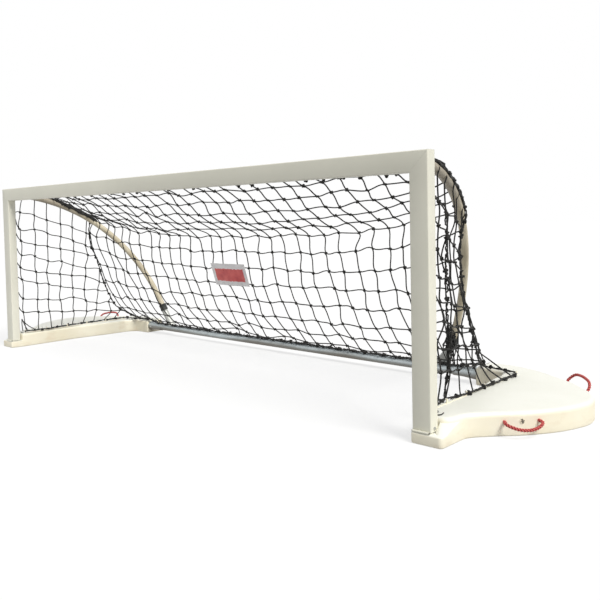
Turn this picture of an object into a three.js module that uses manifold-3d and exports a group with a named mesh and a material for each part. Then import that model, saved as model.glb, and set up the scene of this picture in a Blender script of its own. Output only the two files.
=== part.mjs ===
// Water polo goal: a folding aluminium frame on two floats, with a net inside two curved arms.
// Millimetres. X runs along the crossbar, Y runs back from the mouth, Z is up from the floats' base.
import * as THREE from 'three';
import { mergeVertices } from 'three/addons/utils/BufferGeometryUtils.js';
import Module from 'manifold-3d';

const wasm = await Module();
wasm.setup();

// Fits
const fitGap = 0.3;
const runningGap = 0.5;
const cutOverrun = 2;
const roundSides = 12;
const smallSides = 8;

// Goal frame: posts and crossbar
const mouthWidth = 3000;
const mouthHeight = 900;
const frameFace = 75;
const frameDepth = 48;
const frameWall = 3;
const frameEdgeRadius = 4;
const keyReach = 110;
const keyGap = 0.6;
const endPlugLength = 20;
const plugScrewRadius = 3;
const plugScrewHeadRadius = 6;
const plugScrewHead = 3;
const plugScrewLength = 14;
const plugScrewHeight = 12;

// Floats
const footHeight = 40;
const footWidth = 122;
const footInset = 12;
const footLip = 10;
const footRadius = 6;
const floatHeight = 88;
const floatWidth = 422;
const floatLength = 947;
const floatSlot = 10;
const floatInset = 12;
const floatWall = 5;
const deckRadius = 18;
const baseRadius = 7;
const tailReach = 208;
const foamGap = 0.4;

// Hinge under each post
const leafThickness = 2;
const leafGap = 1;
const leafWidth = 66;
const leafDepth = 40;
const knuckleRadius = 4.5;
const knuckleStandOff = 1;
const hingePinRadius = 2;
const hingePinBore = 2.4;
const hingePinHead = 2;
const hingePinHeadRadius = 3.4;

// Rear tube, its sleeves and the sockets of the arms
const tubeRadius = 21;
const tubeWall = 3;
const rearTubeBack = 910;
const rearTubeHeight = 48;
const tubeSeatDepth = 145;
const sleeveLength = 130;
const sleeveNeckRadius = 24.5;
const sleeveFlareRadius = 31;
const sleeveFlareLength = 80;
const sleeveScrewRadius = 3;
const sleeveScrewHeadRadius = 6.5;
const sleeveScrewHead = 3;
const sleeveScrewDepth = 7;
const sleeveScrewInset = 34;
const socketRadius = 21;
const socketFootRadius = 25;
const socketNeck = 14;
const socketFootInward = 36;
const socketFootBehind = 15;
const collarRadius = 25;
const collarLength = 44;
const collarSeat = 28;
const collarLip = 3;

// Curved arms
const armTubeRadius = 18;
const armTopOffset = 15;
const armInwardSweep = 366;
const armSweepPower = 1.28;
const armFootSetBack = 0.4;
const armCentreBack = -29;
const armCentreHeight = 26;
const armEndAngle = THREE.MathUtils.degToRad(79);
const pivotStandOff = 28;
const eyeThickness = 16;
const eyeRadius = 13;
const eyeHeight = 20;
const eyeLength = 44;
const eyeStrap = 11;
const eyePlugLength = 30;
const armPlugGap = 1;
const armPlugLength = 12;
const armPinRadius = 5;
const armPinHead = 3;
const armPinHeadRadius = 8;
const earThickness = 4;
const earRadius = 14;
const bracketHeight = 48;
const bracketWidth = 34;
const bracketPlate = 3;

// Net, its cords, tracks and rails
const netColumns = 18;
const netRows = 9;
const sideColumns = 4;
const sideRows = 5;
const strandWidth = 4;
const edgeCordRadius = 4;
const borderRadius = 5;
const trackWidth = 12;
const trackDepth = 8;
const trackInset = 30;
const sideTrackDrop = 80;
const sideTrackBottom = 112;
const railWidth = 16;
const railHeight = 3;
const railInset = 9;
const railFront = 80;
const railBack = 830;
const hookCount = 6;
const hookWidth = 8;
const hookWall = 3;
const hookHeight = 17;
const netCornerBack = 862;
const netFootInset = 50;
const netFootSetFront = 32;
const borderTubeSetFront = 30.8;
const borderTubeHeight = 66;
const borderRiseOuterInset = 18;
const borderRiseInnerInset = 155;
const signColumns = [7, 9];
const signRows = [5, 6];
const signThickness = 2;

// Rope handles and drain plugs
const ropeRadius = 6;
const ropeHoleGap = 0.5;
const ropeSeat = 22;
const handleHeight = 54;
const handleHalfSpan = 64;
const drainHeadRadius = 9;
const drainHead = 2.5;
const drainRadius = 7;
const drainLength = 12;
const drainGap = 0.4;

// Places that follow from these sizes
const mouthHalf = mouthWidth / 2;
const barUnderside = footHeight + mouthHeight;
const frameTop = barUnderside + frameFace;
const postCentre = mouthHalf + frameFace / 2;
const sideTrackTop = barUnderside - sideTrackDrop;
const floatInnerX = mouthHalf - floatInset;
const floatFront = frameDepth + floatSlot;
const floatBack = floatFront + floatLength;
const floatTailX = floatInnerX - tailReach;
const baseLeafZ = footHeight + fitGap;
const postLeafZ = baseLeafZ + leafThickness + leafGap;
const postBottom = postLeafZ + leafThickness + fitGap;
const hingeY = -(knuckleRadius + knuckleStandOff);
const hingeZ = baseLeafZ + knuckleRadius;
const frameRear = frameDepth + fitGap;
const pivotY = frameDepth + pivotStandOff;
const pivotZ = barUnderside + frameFace / 2;
const armTopX = mouthHalf + armTopOffset;
const armReachBack = (rearTubeBack + armFootSetBack - armCentreBack) / Math.sin(armEndAngle);
const armStartAngle = Math.asin((pivotY - armCentreBack) / armReachBack);
const armReachUp = (pivotZ - armCentreHeight) / Math.cos(armStartAngle);
const trackRear = frameRear + trackDepth;
const deckTop = floatHeight + fitGap;
const railTop = deckTop + railHeight + fitGap;
const railX = floatInnerX + railInset;
const netCornerX = floatInnerX;
const netFootX = floatTailX + netFootInset;
const netFootBack = rearTubeBack - netFootSetFront;
const borderTubeBack = rearTubeBack - borderTubeSetFront;
const borderRiseOuter = floatTailX - borderRiseOuterInset;
const borderRiseInner = floatTailX - borderRiseInnerInset;

// Finishes
function finish(color, roughness, metalness) {
  return new THREE.MeshStandardMaterial({ color, roughness, metalness });
}

const finishes = {
  frame: finish(0xe6e4d9, 0.45, 0.1),
  float: finish(0xf5efdc, 0.6, 0),
  foam: finish(0xf4f4f0, 0.9, 0),
  tube: finish(0x7d8587, 0.35, 0.8),
  arm: finish(0xdccfae, 0.45, 0.1),
  fitting: finish(0xa9acad, 0.35, 0.9),
  rubber: finish(0x232623, 0.7, 0),
  rope: finish(0xc43e3c, 0.8, 0),
  net: finish(0x191919, 0.85, 0),
  sign: finish(0xf2eef0, 0.5, 0),
  plastic: finish(0x3a3b3a, 0.6, 0),
};

// Mesh helpers: weld, solids and their cuts
function weld(geometry) {
  const plain = geometry.clone();
  plain.deleteAttribute('normal');
  plain.deleteAttribute('uv');
  const merged = mergeVertices(plain);
  const index = merged.index.array;
  const kept = [];
  for (let i = 0; i < index.length; i += 3) {
    const [a, b, c] = [index[i], index[i + 1], index[i + 2]];
    if (a !== b && b !== c && c !== a) kept.push(a, b, c);
  }
  merged.setIndex(kept);
  return outward(merged);
}

function signedVolume(geometry) {
  const position = geometry.attributes.position;
  const index = geometry.index.array;
  const corners = [new THREE.Vector3(), new THREE.Vector3(), new THREE.Vector3()];
  let sum = 0;
  for (let i = 0; i < index.length; i += 3) {
    corners.forEach((corner, k) => corner.fromBufferAttribute(position, index[i + k]));
    sum += corners[0].dot(corners[1].clone().cross(corners[2]));
  }
  return sum;
}

function flipped(geometry) {
  const index = geometry.index.array;
  const turned = [];
  for (let i = 0; i < index.length; i += 3) turned.push(index[i], index[i + 2], index[i + 1]);
  geometry.setIndex(turned);
  return geometry;
}

function outward(geometry) {
  return signedVolume(geometry) < 0 ? flipped(geometry) : geometry;
}

function mirrored(geometry) {
  return flipped(geometry.clone().scale(-1, 1, 1));
}

function solidOf(geometry) {
  const welded = weld(geometry);
  const vertProperties = new Float32Array(welded.attributes.position.array);
  const triVerts = new Uint32Array(welded.index.array);
  return new wasm.Manifold(new wasm.Mesh({ numProp: 3, vertProperties, triVerts }));
}

function geometryOf(solid) {
  const mesh = solid.getMesh();
  const geometry = new THREE.BufferGeometry();
  geometry.setAttribute('position', new THREE.BufferAttribute(mesh.vertProperties, 3));
  geometry.setIndex(Array.from(mesh.triVerts));
  return geometry;
}

function joined(first, ...others) {
  return geometryOf(others.reduce((sum, other) => sum.add(solidOf(other)), solidOf(first)));
}

function cut(first, ...tools) {
  return geometryOf(tools.reduce((rest, tool) => rest.subtract(solidOf(tool)), solidOf(first)));
}

function meshData(positions, faces) {
  const geometry = new THREE.BufferGeometry();
  geometry.setAttribute('position', new THREE.Float32BufferAttribute(positions, 3));
  geometry.setIndex(faces);
  return outward(geometry);
}

// Basic shapes
function box(lowX, highX, lowY, highY, lowZ, highZ) {
  const geometry = new THREE.BoxGeometry(highX - lowX, highY - lowY, highZ - lowZ);
  return geometry.translate((lowX + highX) / 2, (lowY + highY) / 2, (lowZ + highZ) / 2);
}

function aimed(geometry, from, direction) {
  const turn = new THREE.Quaternion().setFromUnitVectors(new THREE.Vector3(0, 1, 0), direction);
  return geometry.applyQuaternion(turn).translate(from.x, from.y, from.z);
}

function cone(from, direction, length, radius, endRadius, sides = roundSides) {
  const geometry = new THREE.CylinderGeometry(endRadius, radius, length, sides);
  return aimed(geometry.translate(0, length / 2, 0), from, direction);
}

function rod(from, direction, length, radius) {
  const sides = radius < armPinHeadRadius + fitGap ? smallSides : roundSides;
  return cone(from, direction, length, radius, radius, sides);
}

function turnedRing(profile, from, direction, sides = roundSides) {
  const points = [...profile, profile[0]].map(([radius, along]) => new THREE.Vector2(radius, along));
  return aimed(weld(new THREE.LatheGeometry(points, sides)), from, direction);
}

function roundedRectangle(width, height, radius) {
  const shape = new THREE.Shape();
  const [x, y] = [width / 2 - radius, height / 2 - radius];
  const quarter = Math.PI / 2;
  shape.absarc(x, -y, radius, -quarter, 0);
  shape.absarc(x, y, radius, 0, quarter);
  shape.absarc(-x, y, radius, quarter, 2 * quarter);
  shape.absarc(-x, -y, radius, 2 * quarter, 3 * quarter);
  shape.closePath();
  return shape;
}

function ringShape(radius, boreRadius = 0) {
  const shape = new THREE.Shape().absarc(0, 0, radius, 0, 2 * Math.PI);
  if (boreRadius > 0) shape.holes.push(new THREE.Path().absarc(0, 0, boreRadius, 0, 2 * Math.PI));
  return shape;
}

function swept(curve, steps, radius, sides, boreRadius = 0) {
  const settings = { steps, extrudePath: curve, bevelEnabled: false, curveSegments: sides / 2 };
  return weld(new THREE.ExtrudeGeometry(ringShape(radius, boreRadius), settings));
}

function distinct(points) {
  return points.filter((point, i) => point.distanceTo(points[(i + 1) % points.length]) > fitGap);
}

function insetRing(points, inset) {
  const count = points.length;
  return points.map((point, i) => {
    const before = points[(i + count - 1) % count];
    const after = points[(i + 1) % count];
    const inEdge = point.clone().sub(before).normalize();
    const outEdge = after.clone().sub(point).normalize();
    const inNormal = new THREE.Vector2(-inEdge.y, inEdge.x);
    const outNormal = new THREE.Vector2(-outEdge.y, outEdge.x);
    const middle = inNormal.add(outNormal).normalize();
    return point.clone().addScaledVector(middle, inset / middle.dot(outNormal));
  });
}

function slab(points, levels) {
  const positions = [];
  const faces = [];
  const count = points.length;
  for (const [inset, z] of levels) {
    for (const point of insetRing(points, inset)) positions.push(point.x, point.y, z);
  }
  for (let level = 0; level + 1 < levels.length; level += 1) {
    for (let i = 0; i < count; i += 1) {
      const [a, b] = [level * count + i, level * count + ((i + 1) % count)];
      faces.push(a, b, b + count, a, b + count, a + count);
    }
  }
  const top = (levels.length - 1) * count;
  const caps = THREE.ShapeUtils.triangulateShape(points, []);
  for (const [a, b, c] of caps) faces.push(a, c, b, top + a, top + b, top + c);
  return meshData(positions, faces);
}

function roundedLevels(bottomRadius, height, topRadius, steps) {
  const levels = [[bottomRadius, 0], [0, bottomRadius]];
  for (let k = 0; k <= steps; k += 1) {
    const angle = (k / steps) * (Math.PI / 2);
    levels.push([topRadius * (1 - Math.cos(angle)), height - topRadius * (1 - Math.sin(angle))]);
  }
  return levels;
}

// Scene helpers: a right-hand piece and its mirror image
const goal = new THREE.Group();
const base = new THREE.Group();
const goalFace = new THREE.Group();
const rightArm = new THREE.Group();
const leftArm = new THREE.Group();
goal.add(base, goalFace, rightArm, leftArm);

function addPiece(parent, name, geometry, material) {
  const mesh = new THREE.Mesh(geometry, material);
  mesh.name = name;
  parent.add(mesh);
}

function addPair(parents, name, geometry, material) {
  const welded = weld(geometry);
  addPiece(parents[0], `right_${name}`, welded, material);
  addPiece(parents[1], `left_${name}`, mirrored(welded), material);
}

const onBase = [base, base];
const onFace = [goalFace, goalFace];
const onArms = [rightArm, leftArm];
const alongX = new THREE.Vector3(1, 0, 0);
const alongY = new THREE.Vector3(0, 1, 0);

// Float outline, seen from above: X out from its inner edge, Y back from its front
const floatOuterShares = [
  [0.3, 0], [0.322, 0.045], [0.35, 0.105], [0.498, 0.182], [0.682, 0.263], [0.865, 0.38],
  [0.962, 0.483], [0.993, 0.556], [0.967, 0.63], [0.886, 0.701], [0.768, 0.757], [0.607, 0.826],
  [0.412, 0.884], [0.166, 0.952], [-0.097, 0.995], [-0.256, 1],
];
const floatInnerShares = [[-0.165, 0.84], [-0.105, 0.78], [-0.09, 0.66], [-0.035, 0.5], [0, 0.36]];
const tailFrontShare = 0.86;
const tailFlatShare = -0.244;

function floatOutline() {
  const place = ([x, y]) => new THREE.Vector2(floatInnerX + x * floatWidth, floatFront + y * floatLength);
  const outer = floatOuterShares.map(place);
  const inner = floatInnerShares.map(place);
  const shape = new THREE.Shape();
  shape.moveTo(floatInnerX, floatFront);
  shape.lineTo(outer[0].x, outer[0].y);
  shape.splineThru(outer.slice(1));
  shape.lineTo(floatTailX, floatBack);
  const tailFront = place([tailFlatShare, tailFrontShare]);
  shape.lineTo(floatTailX, tailFront.y);
  shape.lineTo(tailFront.x, tailFront.y);
  shape.splineThru(inner);
  return distinct(shape.getPoints(2));
}

const outline = floatOutline();

// Rope handles: where each sits on the float's wall, and each loop's route as along, out and up
const handlePlaceShares = [[0.6605, 0.2534], [0.607, 0.826]];
const frontRope = [
  [-68, 18, -2],
  [-56, 36, -8],
  [-30, 47, -16],
  [0, 50, -19],
  [30, 47, -16],
  [56, 36, -8],
  [68, 18, -2],
];
const rearRope = [
  [-66, 18, 6],
  [-62, 34, 22],
  [-46, 44, 40],
  [-14, 48, 49],
  [24, 48, 53],
  [60, 44, 48],
  [76, 24, 26],
];

function wallFrame([x, y]) {
  const near = new THREE.Vector2(floatInnerX + x * floatWidth, floatFront + y * floatLength);
  const distances = outline.map((point) => point.distanceTo(near));
  const closest = distances.indexOf(Math.min(...distances));
  const before = outline[(closest + outline.length - 2) % outline.length];
  const after = outline[(closest + 2) % outline.length];
  const wall = after.clone().sub(before).normalize();
  const along = new THREE.Vector3(wall.x, wall.y, 0);
  const out = new THREE.Vector3(wall.y, -wall.x, 0);
  return { at: new THREE.Vector3(near.x, near.y, handleHeight), along, out };
}

function onWall(frame, along, out, up) {
  const point = frame.at.clone().addScaledVector(frame.along, along).addScaledVector(frame.out, out);
  point.z += up;
  return point;
}

const handleFrames = handlePlaceShares.map(wallFrame);

function ropeCurve(frame, route) {
  const start = [[-handleHalfSpan, -ropeSeat, 0], [-handleHalfSpan, 0, 0]];
  const end = [[handleHalfSpan, 0, 0], [handleHalfSpan, -ropeSeat, 0]];
  const points = [...start, ...route, ...end].map(([along, out, up]) => onWall(frame, along, out, up));
  return new THREE.CatmullRomCurve3(points);
}

function ropeHoles() {
  const holes = [];
  const deep = ropeSeat + ropeHoleGap;
  for (const frame of handleFrames) {
    for (const side of [-1, 1]) {
      const from = onWall(frame, side * handleHalfSpan, -deep, 0);
      holes.push(rod(from, frame.out, deep + floatWall * cutOverrun, ropeRadius + ropeHoleGap));
    }
  }
  return holes;
}

function drainHole() {
  const frame = handleFrames[0];
  const from = onWall(frame, 0, -drainLength - drainGap, 0);
  return rod(from, frame.out, drainLength + floatWall * cutOverrun, drainRadius + drainGap);
}

// Rear tube and its sleeves
const tubeEndX = floatTailX + tubeSeatDepth;

function tubeCentre(x) {
  return new THREE.Vector3(x, rearTubeBack, rearTubeHeight);
}

function tubeHole(depth) {
  return rod(tubeCentre(floatTailX - cutOverrun), alongX, depth + cutOverrun, tubeRadius + runningGap);
}

// Floats: a hollow shell with a foot under the post, and the foam that fills it
function buildFloats() {
  const skin = slab(outline, roundedLevels(baseRadius, floatHeight, deckRadius, 2));
  const hollow = slab(outline, [[floatWall, floatWall], [floatWall, floatHeight - deckRadius],
    [deckRadius, floatHeight - floatWall]]);
  const footShape = roundedRectangle(footWidth, floatFront + footLip + footRadius, footRadius);
  const foot = slab(distinct(footShape.getPoints(2)), roundedLevels(footRadius / 2, footHeight, footRadius / 2, 1));
  foot.translate(floatInnerX + footInset + footWidth / 2, (floatFront + footRadius - footLip) / 2, 0);
  const shell = cut(joined(skin, foot), hollow, tubeHole(floatWall * cutOverrun), drainHole(), ...ropeHoles());
  addPair(onBase, 'float', shell, finishes.float);

  const inset = floatWall + foamGap;
  const core = slab(outline, [[inset, inset], [inset, floatHeight - deckRadius - foamGap]]);
  const foam = cut(core, tubeHole(tubeSeatDepth + runningGap), drainHole(), ...ropeHoles());
  addPair(onBase, 'foam_core', foam, finishes.foam);
}

function buildRopesAndPlugs() {
  const [front, rear] = handleFrames;
  addPair(onBase, 'front_rope_handle', swept(ropeCurve(front, frontRope), 14, ropeRadius, 8), finishes.rope);
  addPair(onBase, 'rear_rope_handle', swept(ropeCurve(rear, rearRope), 14, ropeRadius, 8), finishes.rope);
  buildDrainPlugs(front);
}

function buildDrainPlugs(frame) {
  const shank = rod(onWall(frame, 0, -drainLength, 0), frame.out, drainLength + drainHead, drainRadius);
  const head = rod(onWall(frame, 0, fitGap, 0), frame.out, drainHead, drainHeadRadius);
  addPair(onBase, 'drain_plug', joined(shank, head), finishes.plastic);
}

function sleeveScrewPlace() {
  const out = new THREE.Vector3(0, -1, 0);
  return { out, at: tubeCentre(floatTailX - sleeveScrewInset).addScaledVector(out, sleeveFlareRadius) };
}

function buildRearTube() {
  const settings = { depth: 2 * tubeEndX, bevelEnabled: false, curveSegments: roundSides / 2 };
  const pipe = new THREE.ExtrudeGeometry(ringShape(tubeRadius, tubeRadius - tubeWall), settings);
  pipe.rotateY(Math.PI / 2).translate(-tubeEndX, rearTubeBack, rearTubeHeight);
  const { out, at } = sleeveScrewPlace();
  const inward = out.clone().negate();
  const depth = sleeveScrewDepth + runningGap;
  const rightHole = rod(at, inward, depth, sleeveScrewRadius + runningGap);
  const leftHole = mirrored(weld(rightHole));
  addPiece(base, 'rear_tube', weld(cut(pipe, rightHole, leftHole)), finishes.tube);

  const outerEnd = sleeveLength - fitGap;
  const bore = tubeRadius + fitGap;
  const profile = [[bore, 0], [sleeveNeckRadius, 0], [sleeveNeckRadius, outerEnd - sleeveFlareLength],
    [sleeveFlareRadius, outerEnd], [bore, outerEnd]];
  const sleeve = turnedRing(profile, tubeCentre(floatTailX - sleeveLength), alongX);
  addPair(onBase, 'tube_sleeve', cut(sleeve, rightHole), finishes.tube);

  const headTop = sleeveScrewHead + fitGap;
  const shank = rod(at.clone().addScaledVector(out, headTop), inward, headTop + sleeveScrewDepth, sleeveScrewRadius);
  const head = rod(at.clone().addScaledVector(out, fitGap), out, sleeveScrewHead, sleeveScrewHeadRadius);
  addPair(onBase, 'sleeve_screw', joined(shank, head), finishes.fitting);
}

// Arms: one quarter-circle bow that draws inward as it comes down
function armPoint(angle) {
  const share = Math.max(0, (angle - armStartAngle) / (armEndAngle - armStartAngle));
  return new THREE.Vector3(
    armTopX - armInwardSweep * share ** armSweepPower,
    armCentreBack + armReachBack * Math.sin(angle),
    armCentreHeight + armReachUp * Math.cos(angle),
  );
}

class ArmCurve extends THREE.Curve {
  constructor(startAngle, endAngle) {
    super();
    this.startAngle = startAngle;
    this.endAngle = endAngle;
  }

  getPoint(t) {
    return armPoint(THREE.MathUtils.lerp(this.startAngle, this.endAngle, t));
  }
}

const armTubeStartAngle = armStartAngle + eyeLength / armReachBack;
const armSides = 10;
const armCurve = new ArmCurve(armTubeStartAngle, armEndAngle);
const armSteps = 12;
const armPivot = armPoint(armStartAngle);
const armEnd = armPoint(armEndAngle);
const armEndDirection = armCurve.getTangentAt(1);

function armPinHole() {
  const reach = eyeThickness / 2 + runningGap + earThickness + cutOverrun;
  const from = armPivot.clone().addScaledVector(alongX, -reach);
  return rod(from, alongX, 2 * reach, (armPinRadius + fitGap) / Math.cos(Math.PI / smallSides));
}

function buildArms() {
  const bore = armTubeRadius - tubeWall;
  addPair(onArms, 'arm_tube', swept(armCurve, armSteps, armTubeRadius, armSides, bore), finishes.arm);

  const start = armCurve.getPointAt(0);
  const direction = armCurve.getPointAt(1 / armSteps).sub(start).normalize();
  const bossFrom = armPivot.clone().addScaledVector(alongX, -eyeThickness / 2);
  const boss = rod(bossFrom, alongX, eyeThickness, eyeRadius);
  const strap = new THREE.BoxGeometry(eyeStrap, eyeLength, eyeHeight).translate(0, eyeLength / 2, 0);
  const between = start.clone().sub(armPivot).normalize();
  aimed(strap, armPivot, between);
  const plugRadius = (bore - armPlugGap) * Math.cos(Math.PI / armSides);
  const plug = rod(start.clone().addScaledVector(direction, -fitGap), direction, eyePlugLength, plugRadius);
  addPair(onArms, 'arm_eye', cut(joined(boss, strap, plug), armPinHole()), finishes.fitting);

  const cap = rod(armEnd, armEndDirection.clone().negate(), armPlugLength, plugRadius);
  addPair(onArms, 'arm_end_plug', cap, finishes.plastic);
}

function buildArmBrackets() {
  const earInner = eyeThickness / 2 + runningGap;
  const plate = box(armPivot.x - bracketWidth / 2, armPivot.x + bracketWidth / 2, frameRear,
    frameRear + bracketPlate, armPivot.z - bracketHeight / 2, armPivot.z + bracketHeight / 2);
  const ears = [-earInner - earThickness, earInner].flatMap((offset) => {
    const low = armPivot.x + offset;
    const web = box(low, low + earThickness, frameRear, pivotY, armPivot.z - earRadius, armPivot.z + earRadius);
    const round = rod(new THREE.Vector3(low, pivotY, armPivot.z), alongX, earThickness, earRadius);
    return [web, round];
  });
  addPair(onFace, 'arm_bracket', cut(joined(plate, ...ears), armPinHole()), finishes.fitting);

  const reach = earInner + earThickness + fitGap;
  const left = armPivot.clone().addScaledVector(alongX, -reach - armPinHead);
  const right = armPivot.clone().addScaledVector(alongX, reach);
  const shaft = rod(left, alongX, 2 * (reach + armPinHead), armPinRadius);
  const heads = [left, right].map((from) => rod(from, alongX, armPinHead, armPinHeadRadius));
  addPair(onFace, 'arm_pin', joined(shaft, ...heads), finishes.fitting);
}

// Sockets: a stub saddled on the rear tube, and the rubber collar that joins it to the arm
function buildSockets() {
  const collarStart = armEnd.clone().addScaledVector(armEndDirection, runningGap);
  const collarEnd = collarStart.clone().addScaledVector(armEndDirection, collarLength);
  const upward = armEndDirection.clone().negate();
  const bore = socketRadius + fitGap;
  const profile = [[0, collarLength], [0, collarSeat], [bore, collarSeat], [bore, 0],
    [collarRadius - collarLip, 0], [collarRadius, collarLip], [collarRadius, collarLength - collarLip],
    [collarRadius - collarLip, collarLength]];
  addPair(onBase, 'arm_collar', turnedRing(profile, collarEnd, upward), finishes.rubber);

  const drop = (collarEnd.z - rearTubeHeight) / upward.z;
  const foot = collarEnd.clone().addScaledVector(armEndDirection, drop);
  foot.x -= socketFootInward;
  foot.y = rearTubeBack + socketFootBehind;
  const neck = collarEnd.clone().addScaledVector(armEndDirection, socketNeck);
  const rise = neck.clone().sub(foot);
  const tall = rise.length();
  const stub = cone(foot, rise.normalize(), tall, socketFootRadius, socketRadius);
  const bend = new THREE.SphereGeometry(socketRadius, smallSides, smallSides / 2);
  bend.translate(neck.x, neck.y, neck.z);
  const seat = rod(neck, upward, socketNeck + collarSeat - fitGap, socketRadius);
  const saddle = rod(tubeCentre(foot.x - frameFace), alongX, 2 * frameFace, tubeRadius + fitGap);
  addPair(onBase, 'arm_socket', cut(joined(stub, bend, seat), saddle), finishes.arm);
}

// Goal frame: mitred hollow members, corner keys and end plugs
function frameMember(length, startShift, endShift) {
  const shape = roundedRectangle(frameFace, frameDepth, frameEdgeRadius);
  const hollow = roundedRectangle(frameFace - 2 * frameWall, frameDepth - 2 * frameWall, frameEdgeRadius - frameWall);
  shape.holes.push(new THREE.Path(hollow.getPoints(2)));
  const geometry = weld(new THREE.ExtrudeGeometry(shape, { depth: length, bevelEnabled: false, curveSegments: 2 }));
  const position = geometry.attributes.position;
  for (let i = 0; i < position.count; i += 1) {
    const atEnd = position.getZ(i) > length / 2;
    position.setZ(i, position.getZ(i) + (atEnd ? endShift : startShift)(position.getX(i)));
  }
  return geometry;
}

function buildFrame() {
  const none = () => 0;
  const postMitre = (x) => x + frameFace / 2 - fitGap;
  const post = frameMember(barUnderside - postBottom, none, postMitre);
  post.translate(postCentre, frameDepth / 2, postBottom);
  const screwHole = rod(plugScrewAt(), alongX, frameFace, plugScrewRadius + fitGap);
  addPair(onFace, 'post', cut(post, screwHole), finishes.frame);

  const barMitre = (x) => frameFace / 2 - x - fitGap;
  const bar = frameMember(mouthWidth, (x) => -barMitre(x), barMitre);
  bar.rotateY(Math.PI / 2).translate(-mouthHalf, frameDepth / 2, barUnderside + frameFace / 2);
  addPiece(goalFace, 'crossbar', outward(bar), finishes.frame);

  const skin = frameWall + keyGap;
  const key = new THREE.Shape();
  key.moveTo(mouthHalf - keyReach, frameTop - skin);
  key.lineTo(mouthHalf + frameFace - skin, frameTop - skin);
  key.lineTo(mouthHalf + frameFace - skin, barUnderside - keyReach);
  key.lineTo(mouthHalf + skin, barUnderside - keyReach);
  key.lineTo(mouthHalf + skin, barUnderside + skin);
  key.lineTo(mouthHalf - keyReach, barUnderside + skin);
  const solid = new THREE.ExtrudeGeometry(key, { depth: frameDepth - 2 * skin, bevelEnabled: false });
  addPair(onFace, 'corner_key', solid.rotateX(Math.PI / 2).translate(0, frameDepth - skin, 0), finishes.fitting);
}

function plugScrewAt() {
  return new THREE.Vector3(mouthHalf + frameFace - plugScrewLength, frameDepth / 2, postBottom + plugScrewHeight);
}

function buildEndPlugs() {
  const side = frameWall + keyGap;
  const plug = box(mouthHalf + side, mouthHalf + frameFace - side, side, frameDepth - side,
    postBottom, postBottom + endPlugLength);
  const hole = rod(plugScrewAt(), alongX, frameFace, plugScrewRadius + fitGap);
  addPair(onFace, 'post_end_plug', cut(plug, hole), finishes.plastic);

  const from = plugScrewAt().addScaledVector(alongX, fitGap);
  const headFrom = new THREE.Vector3(mouthHalf + frameFace + fitGap, from.y, from.z);
  const shank = rod(from, alongX, plugScrewLength + plugScrewHead, plugScrewRadius);
  const head = rod(headFrom, alongX, plugScrewHead, plugScrewHeadRadius);
  addPair(onFace, 'plug_screw', joined(shank, head), finishes.fitting);
}

// Hinges: two leaves shut flat under the post, with their knuckles along its front edge
function hingeLeaf(plateZ, knuckles) {
  const low = postCentre - leafWidth / 2;
  const third = leafWidth / 3;
  const plate = box(low, low + leafWidth, 0, leafDepth, plateZ, plateZ + leafThickness);
  const pieces = knuckles.flatMap((k) => {
    const [start, end] = [low + k * third + runningGap / 2, low + (k + 1) * third - runningGap / 2];
    const tab = box(start, end, hingeY, leafThickness, plateZ, plateZ + leafThickness);
    return [tab, rod(new THREE.Vector3(start, hingeY, hingeZ), alongX, end - start, knuckleRadius)];
  });
  const hole = rod(new THREE.Vector3(low - cutOverrun, hingeY, hingeZ), alongX, leafWidth + 2 * cutOverrun, hingePinBore);
  return cut(joined(plate, ...pieces), hole);
}

function buildHinges() {
  addPair(onBase, 'hinge_base_leaf', hingeLeaf(baseLeafZ, [0, 2]), finishes.fitting);
  addPair(onFace, 'hinge_post_leaf', hingeLeaf(postLeafZ, [1]), finishes.fitting);
  const low = new THREE.Vector3(postCentre - leafWidth / 2 - fitGap - hingePinHead, hingeY, hingeZ);
  const high = low.clone().setX(postCentre + leafWidth / 2 + fitGap);
  const shaft = rod(low, alongX, high.x + hingePinHead - low.x, hingePinRadius);
  const heads = [low, high].map((from) => rod(from, alongX, hingePinHead, hingePinHeadRadius));
  addPair(onBase, 'hinge_pin', joined(shaft, ...heads), finishes.fitting);
}

// Net tracks on the frame's rear, and the rails with hooks on the decks
function buildTracks() {
  const barMiddle = barUnderside + frameFace / 2;
  const reach = mouthHalf - trackInset;
  const top = box(-reach, reach, frameRear, trackRear, barMiddle - trackWidth / 2, barMiddle + trackWidth / 2);
  addPiece(goalFace, 'crossbar_net_track', weld(top), finishes.plastic);
  const side = box(postCentre - trackWidth / 2, postCentre + trackWidth / 2, frameRear, trackRear,
    sideTrackBottom, sideTrackTop);
  addPair(onFace, 'post_net_track', side, finishes.plastic);
}

function buildRails() {
  const strip = box(railX - railWidth / 2, railX + railWidth / 2, railFront, railBack, deckTop, deckTop + railHeight);
  const pieces = [];
  const spacing = (railBack - railFront - hookWidth) / (hookCount - 1);
  const stemX = railX + borderRadius + fitGap;
  for (let i = 0; i < hookCount; i += 1) {
    const y = railFront + i * spacing;
    pieces.push(box(stemX, stemX + hookWall, y, y + hookWidth, deckTop, deckTop + hookHeight));
    pieces.push(box(railX, stemX + hookWall, y, y + hookWidth, deckTop + hookHeight - hookWall, deckTop + hookHeight));
  }
  addPair(onBase, 'net_rail', joined(strip, ...pieces), finishes.float);
}

// Net edge line on each side: from the crossbar, inside the arm, and down to the float's tail
const netEdgeGap = 3;
const edgeOffset = armTubeRadius + netEdgeGap + edgeCordRadius;
const edgeTurnAngles = [12, 30].map(THREE.MathUtils.degToRad);
const edgeArmAngles = [12, 18, 24, 30, 38, 46, 53].map(THREE.MathUtils.degToRad);
const edgeTopInset = 22;
const edgeFootShares = [0.55];

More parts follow.
